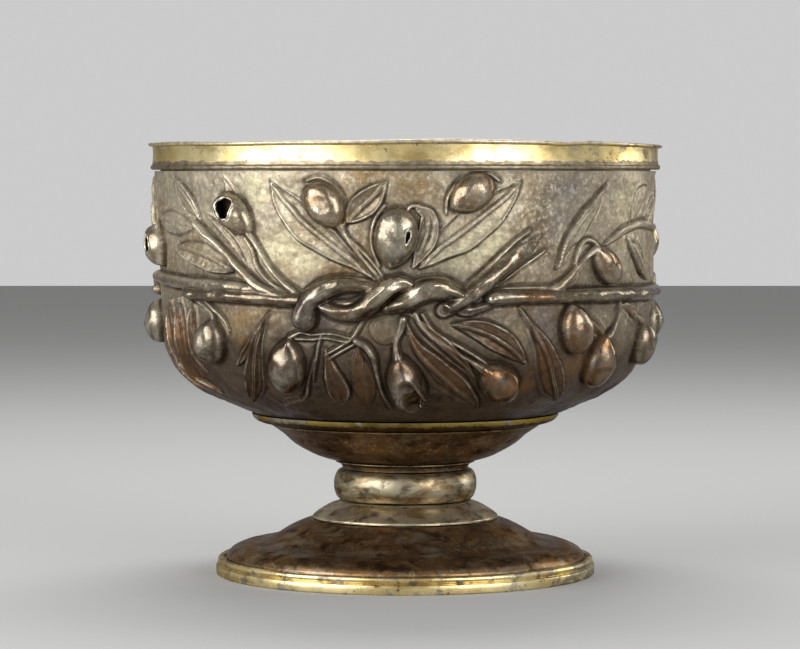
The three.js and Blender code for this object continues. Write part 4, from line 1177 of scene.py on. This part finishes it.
def foot_rim():
    top, reach = node_heights("foot_rim")[1], node_radius("foot_rim")
    outline = [
        (41.4, 0.0), (reach - 0.35, 0.0), *arc((reach - 0.4, 0.4), 0.38, -80, 0, 4),
        (reach - 0.02, 1.3), *arc((reach - 0.36, 2.0), 0.34, 10, 80, 4), (reach - 0.62, 2.42),
        (reach - 0.72, 2.56), *arc((reach - 1.25, top - 0.83), 0.81, -35, 90, 9), (44.32, top - 0.3),
        (44.3, 3.6), (41.4, 3.5),
    ]
    piece = turned("foot_rim_gilt", outline, 360)
    for vertex in piece.data.vertices:
        if vertex.co.z / MM > 0.3:
            vertex.co.z += 0.09 * noise.noise(vertex.co / (9 * MM)) * MM
    return piece


# Build the cup

chased = relief_silver()
brown = brown_silver("patinated_silver", 40.0, ("4f4033", "715a45", "7c6039", "8f836e"), 0.36)
stem_brown = brown_silver("worn_stem_silver", 140.0, ("64543d", "8a785a", "80693f", "b8b098"), 0.5)
cone_brown = brown_silver("worn_cone_silver", 240.0, ("917c62", "b8a280", "8e764c", "d6ccb2"), 0.62)
dome_brown = brown_silver("worn_dome_silver", 340.0, ("5c4a3a", "84694e", "906d3e", "9c907a"), 0.38)
torn_silver = plain_silver("torn_silver", "d5cdbb", 0.3)
tarnished = plain_silver("tarnished_back", "30261d", 0.55)
band_foot, band_top = node_heights("rim_band")
lip_gilding = worn_gilding("lip_gilding", 60.0, ("e0c888", "f2e2ae", "bd9f60"), 0.12, 0.04, 0.26,
                           [(band_foot + 2, False, "6a5f54", "938979"),
                            (band_top - 1.1, True, "cfc8b6", "a79d8b")])
foot_gilding = worn_gilding("foot_gilding", 80.0, ("dcc488", "f0e2b2", "a68850"), 0.34, 0.06, 0.3)
dull_gilding = worn_gilding("dull_gilding", 95.0, ("84703a", "a08c4c", "54431f"), 0.28, 0.3, 0.2,
                            [(node_heights("gilt_fillet")[1] - 1.15, False, "3d2f22", "5e4c3a")])
silver = liner_silver()

chase_casing()
face_points = wall_points(sheet["height"])
face_normals = outward(face_points)
# ridge, hollow and near also drive the casing's painted shade round the forms and in creases, and ridge and
# lift its painted highlights
marks = {
    "lift": sheet["height"],
    "ridge": sheet["height"] - blurred(sheet["height"], 0.4),
    "hollow": sheet["height"] - blurred(sheet["height"], 2.0),
    "near": np.clip(1 - sheet["clear"] / 1.1, 0, 1) * (sheet["clear"] > 0),
    "blade": blurred((sheet["form"] == LEAF) * 1.0, 0.25),
    **{name: np.clip(blurred(sheet[name], 0.35), 0, 1) for name in TARNISHES},
}
for quarter, name in enumerate(("casing_left", "casing_front", "casing_right", "casing_back")):
    face = casing_face(name, quarter, face_points, face_normals, marks)
    dress(face, chased, "tarnished_relief", "relief_casing")
for turn, name in ((0, "torn_edges_front"), (180, "torn_edges_back")):
    dress(torn_edges(turn, name), torn_silver, "tarnished_relief", "relief_casing")
dress(casing_core(), tarnished, "tarnished_relief", "relief_casing")

for piece, finish, node in ((dish(), brown, "base_dish"), (collar(), brown, "neck_collar"),
                            (knop(), stem_brown, "stem_knop"), (cone(), cone_brown, "foot_cone"),
                            (dome(), dome_brown, "foot_dome")):
    mark_wear(piece)
    dress(piece, finish, "patinated_silver", node)
dress(rim_band(), lip_gilding, "gilding", "rim_band")
dress(fillet(), dull_gilding, "gilding", "gilt_fillet")
dress(foot_rim(), foot_gilding, "gilding", "foot_rim")
dress(liner(), silver, "polished_silver", "liner_bowl")


# The studio: a wide pale floor, soft light and the photograph's viewpoint

CAMERA_PLACE = (-1.29, -793, 97.86)
CAMERA_DROP = 2.689  # degrees below level
CAMERA_LENS = 146.1

# Lamps as (name, place, height of the spot they face, width, height, power), in metres and watts
LAMPS = (
    ("key_left", (-0.64, -0.46, 0.32), 0.06, 0.86, 0.62, 7.8),
    ("fill_right", (0.53, -0.59, 0.3), 0.06, 0.46, 0.54, 3.9),
    ("edge_right", (0.75, 0.36, 0.3), 0.06, 0.2, 0.5, 1.7),
    ("top_back", (0, 0.35, 0.7), 0.08, 0.5, 0.3, 4),
)


def studio_floor():
    deselect()
    bpy.ops.mesh.primitive_plane_add(size=4, location=(0, 0, 0))
    floor = keep("studio_floor")
    material, tree = new_material("pale_floor")
    shader = tree.nodes["Principled BSDF"]
    shader.inputs["Base Color"].default_value = tint("a6a6a5")
    shader.inputs["Roughness"].default_value = 0.9
    floor.data.materials.append(material)


def studio_world():
    world = bpy.data.worlds.new("studio_world")
    bpy.context.scene.world = world
    world.use_nodes = True
    tree = world.node_tree
    tree.nodes.clear()
    rays = add_node(tree, "ShaderNodeLightPath").outputs
    seen = larger(tree, larger(tree, rays["Is Camera Ray"], rays["Is Glossy Ray"]), rays["Is Transmission Ray"])
    strength = add_node(tree, "ShaderNodeMapRange", i0=seen, i3=0.42, i4=0.6).outputs[0]
    strength = minus(tree, strength, times(tree, rays["Is Glossy Ray"], 0.16))
    light = add_node(tree, "ShaderNodeBackground", Color=(1, 1, 1, 1), Strength=strength)
    out = add_node(tree, "ShaderNodeOutputWorld")
    tree.links.new(light.outputs[0], out.inputs["Surface"])


def soft_lamp(name, place, aim, wide, high, power):
    deselect()
    bpy.ops.object.light_add(type="AREA", location=place)
    lamp = bpy.context.object
    lamp.name = name
    lamp.data.shape = "RECTANGLE"
    lamp.data.size = wide
    lamp.data.size_y = high
    lamp.data.energy = power
    lamp.rotation_euler = (Vector((0, 0, aim)) - Vector(place)).to_track_quat("-Z", "Y").to_euler()


def photograph_camera():
    deselect()
    bpy.ops.object.camera_add(location=[value * MM for value in CAMERA_PLACE],
                              rotation=(math.radians(90 - CAMERA_DROP), 0, 0))
    camera = bpy.context.object
    camera.name = "photograph_camera"
    camera.data.sensor_width = 36
    camera.data.lens = CAMERA_LENS
    camera.data.clip_start = 0.01
    bpy.context.scene.camera = camera


studio_floor()
studio_world()
for lamp in LAMPS:
    soft_lamp(*lamp)
photograph_camera()
bpy.context.scene.view_settings.view_transform = "Standard"
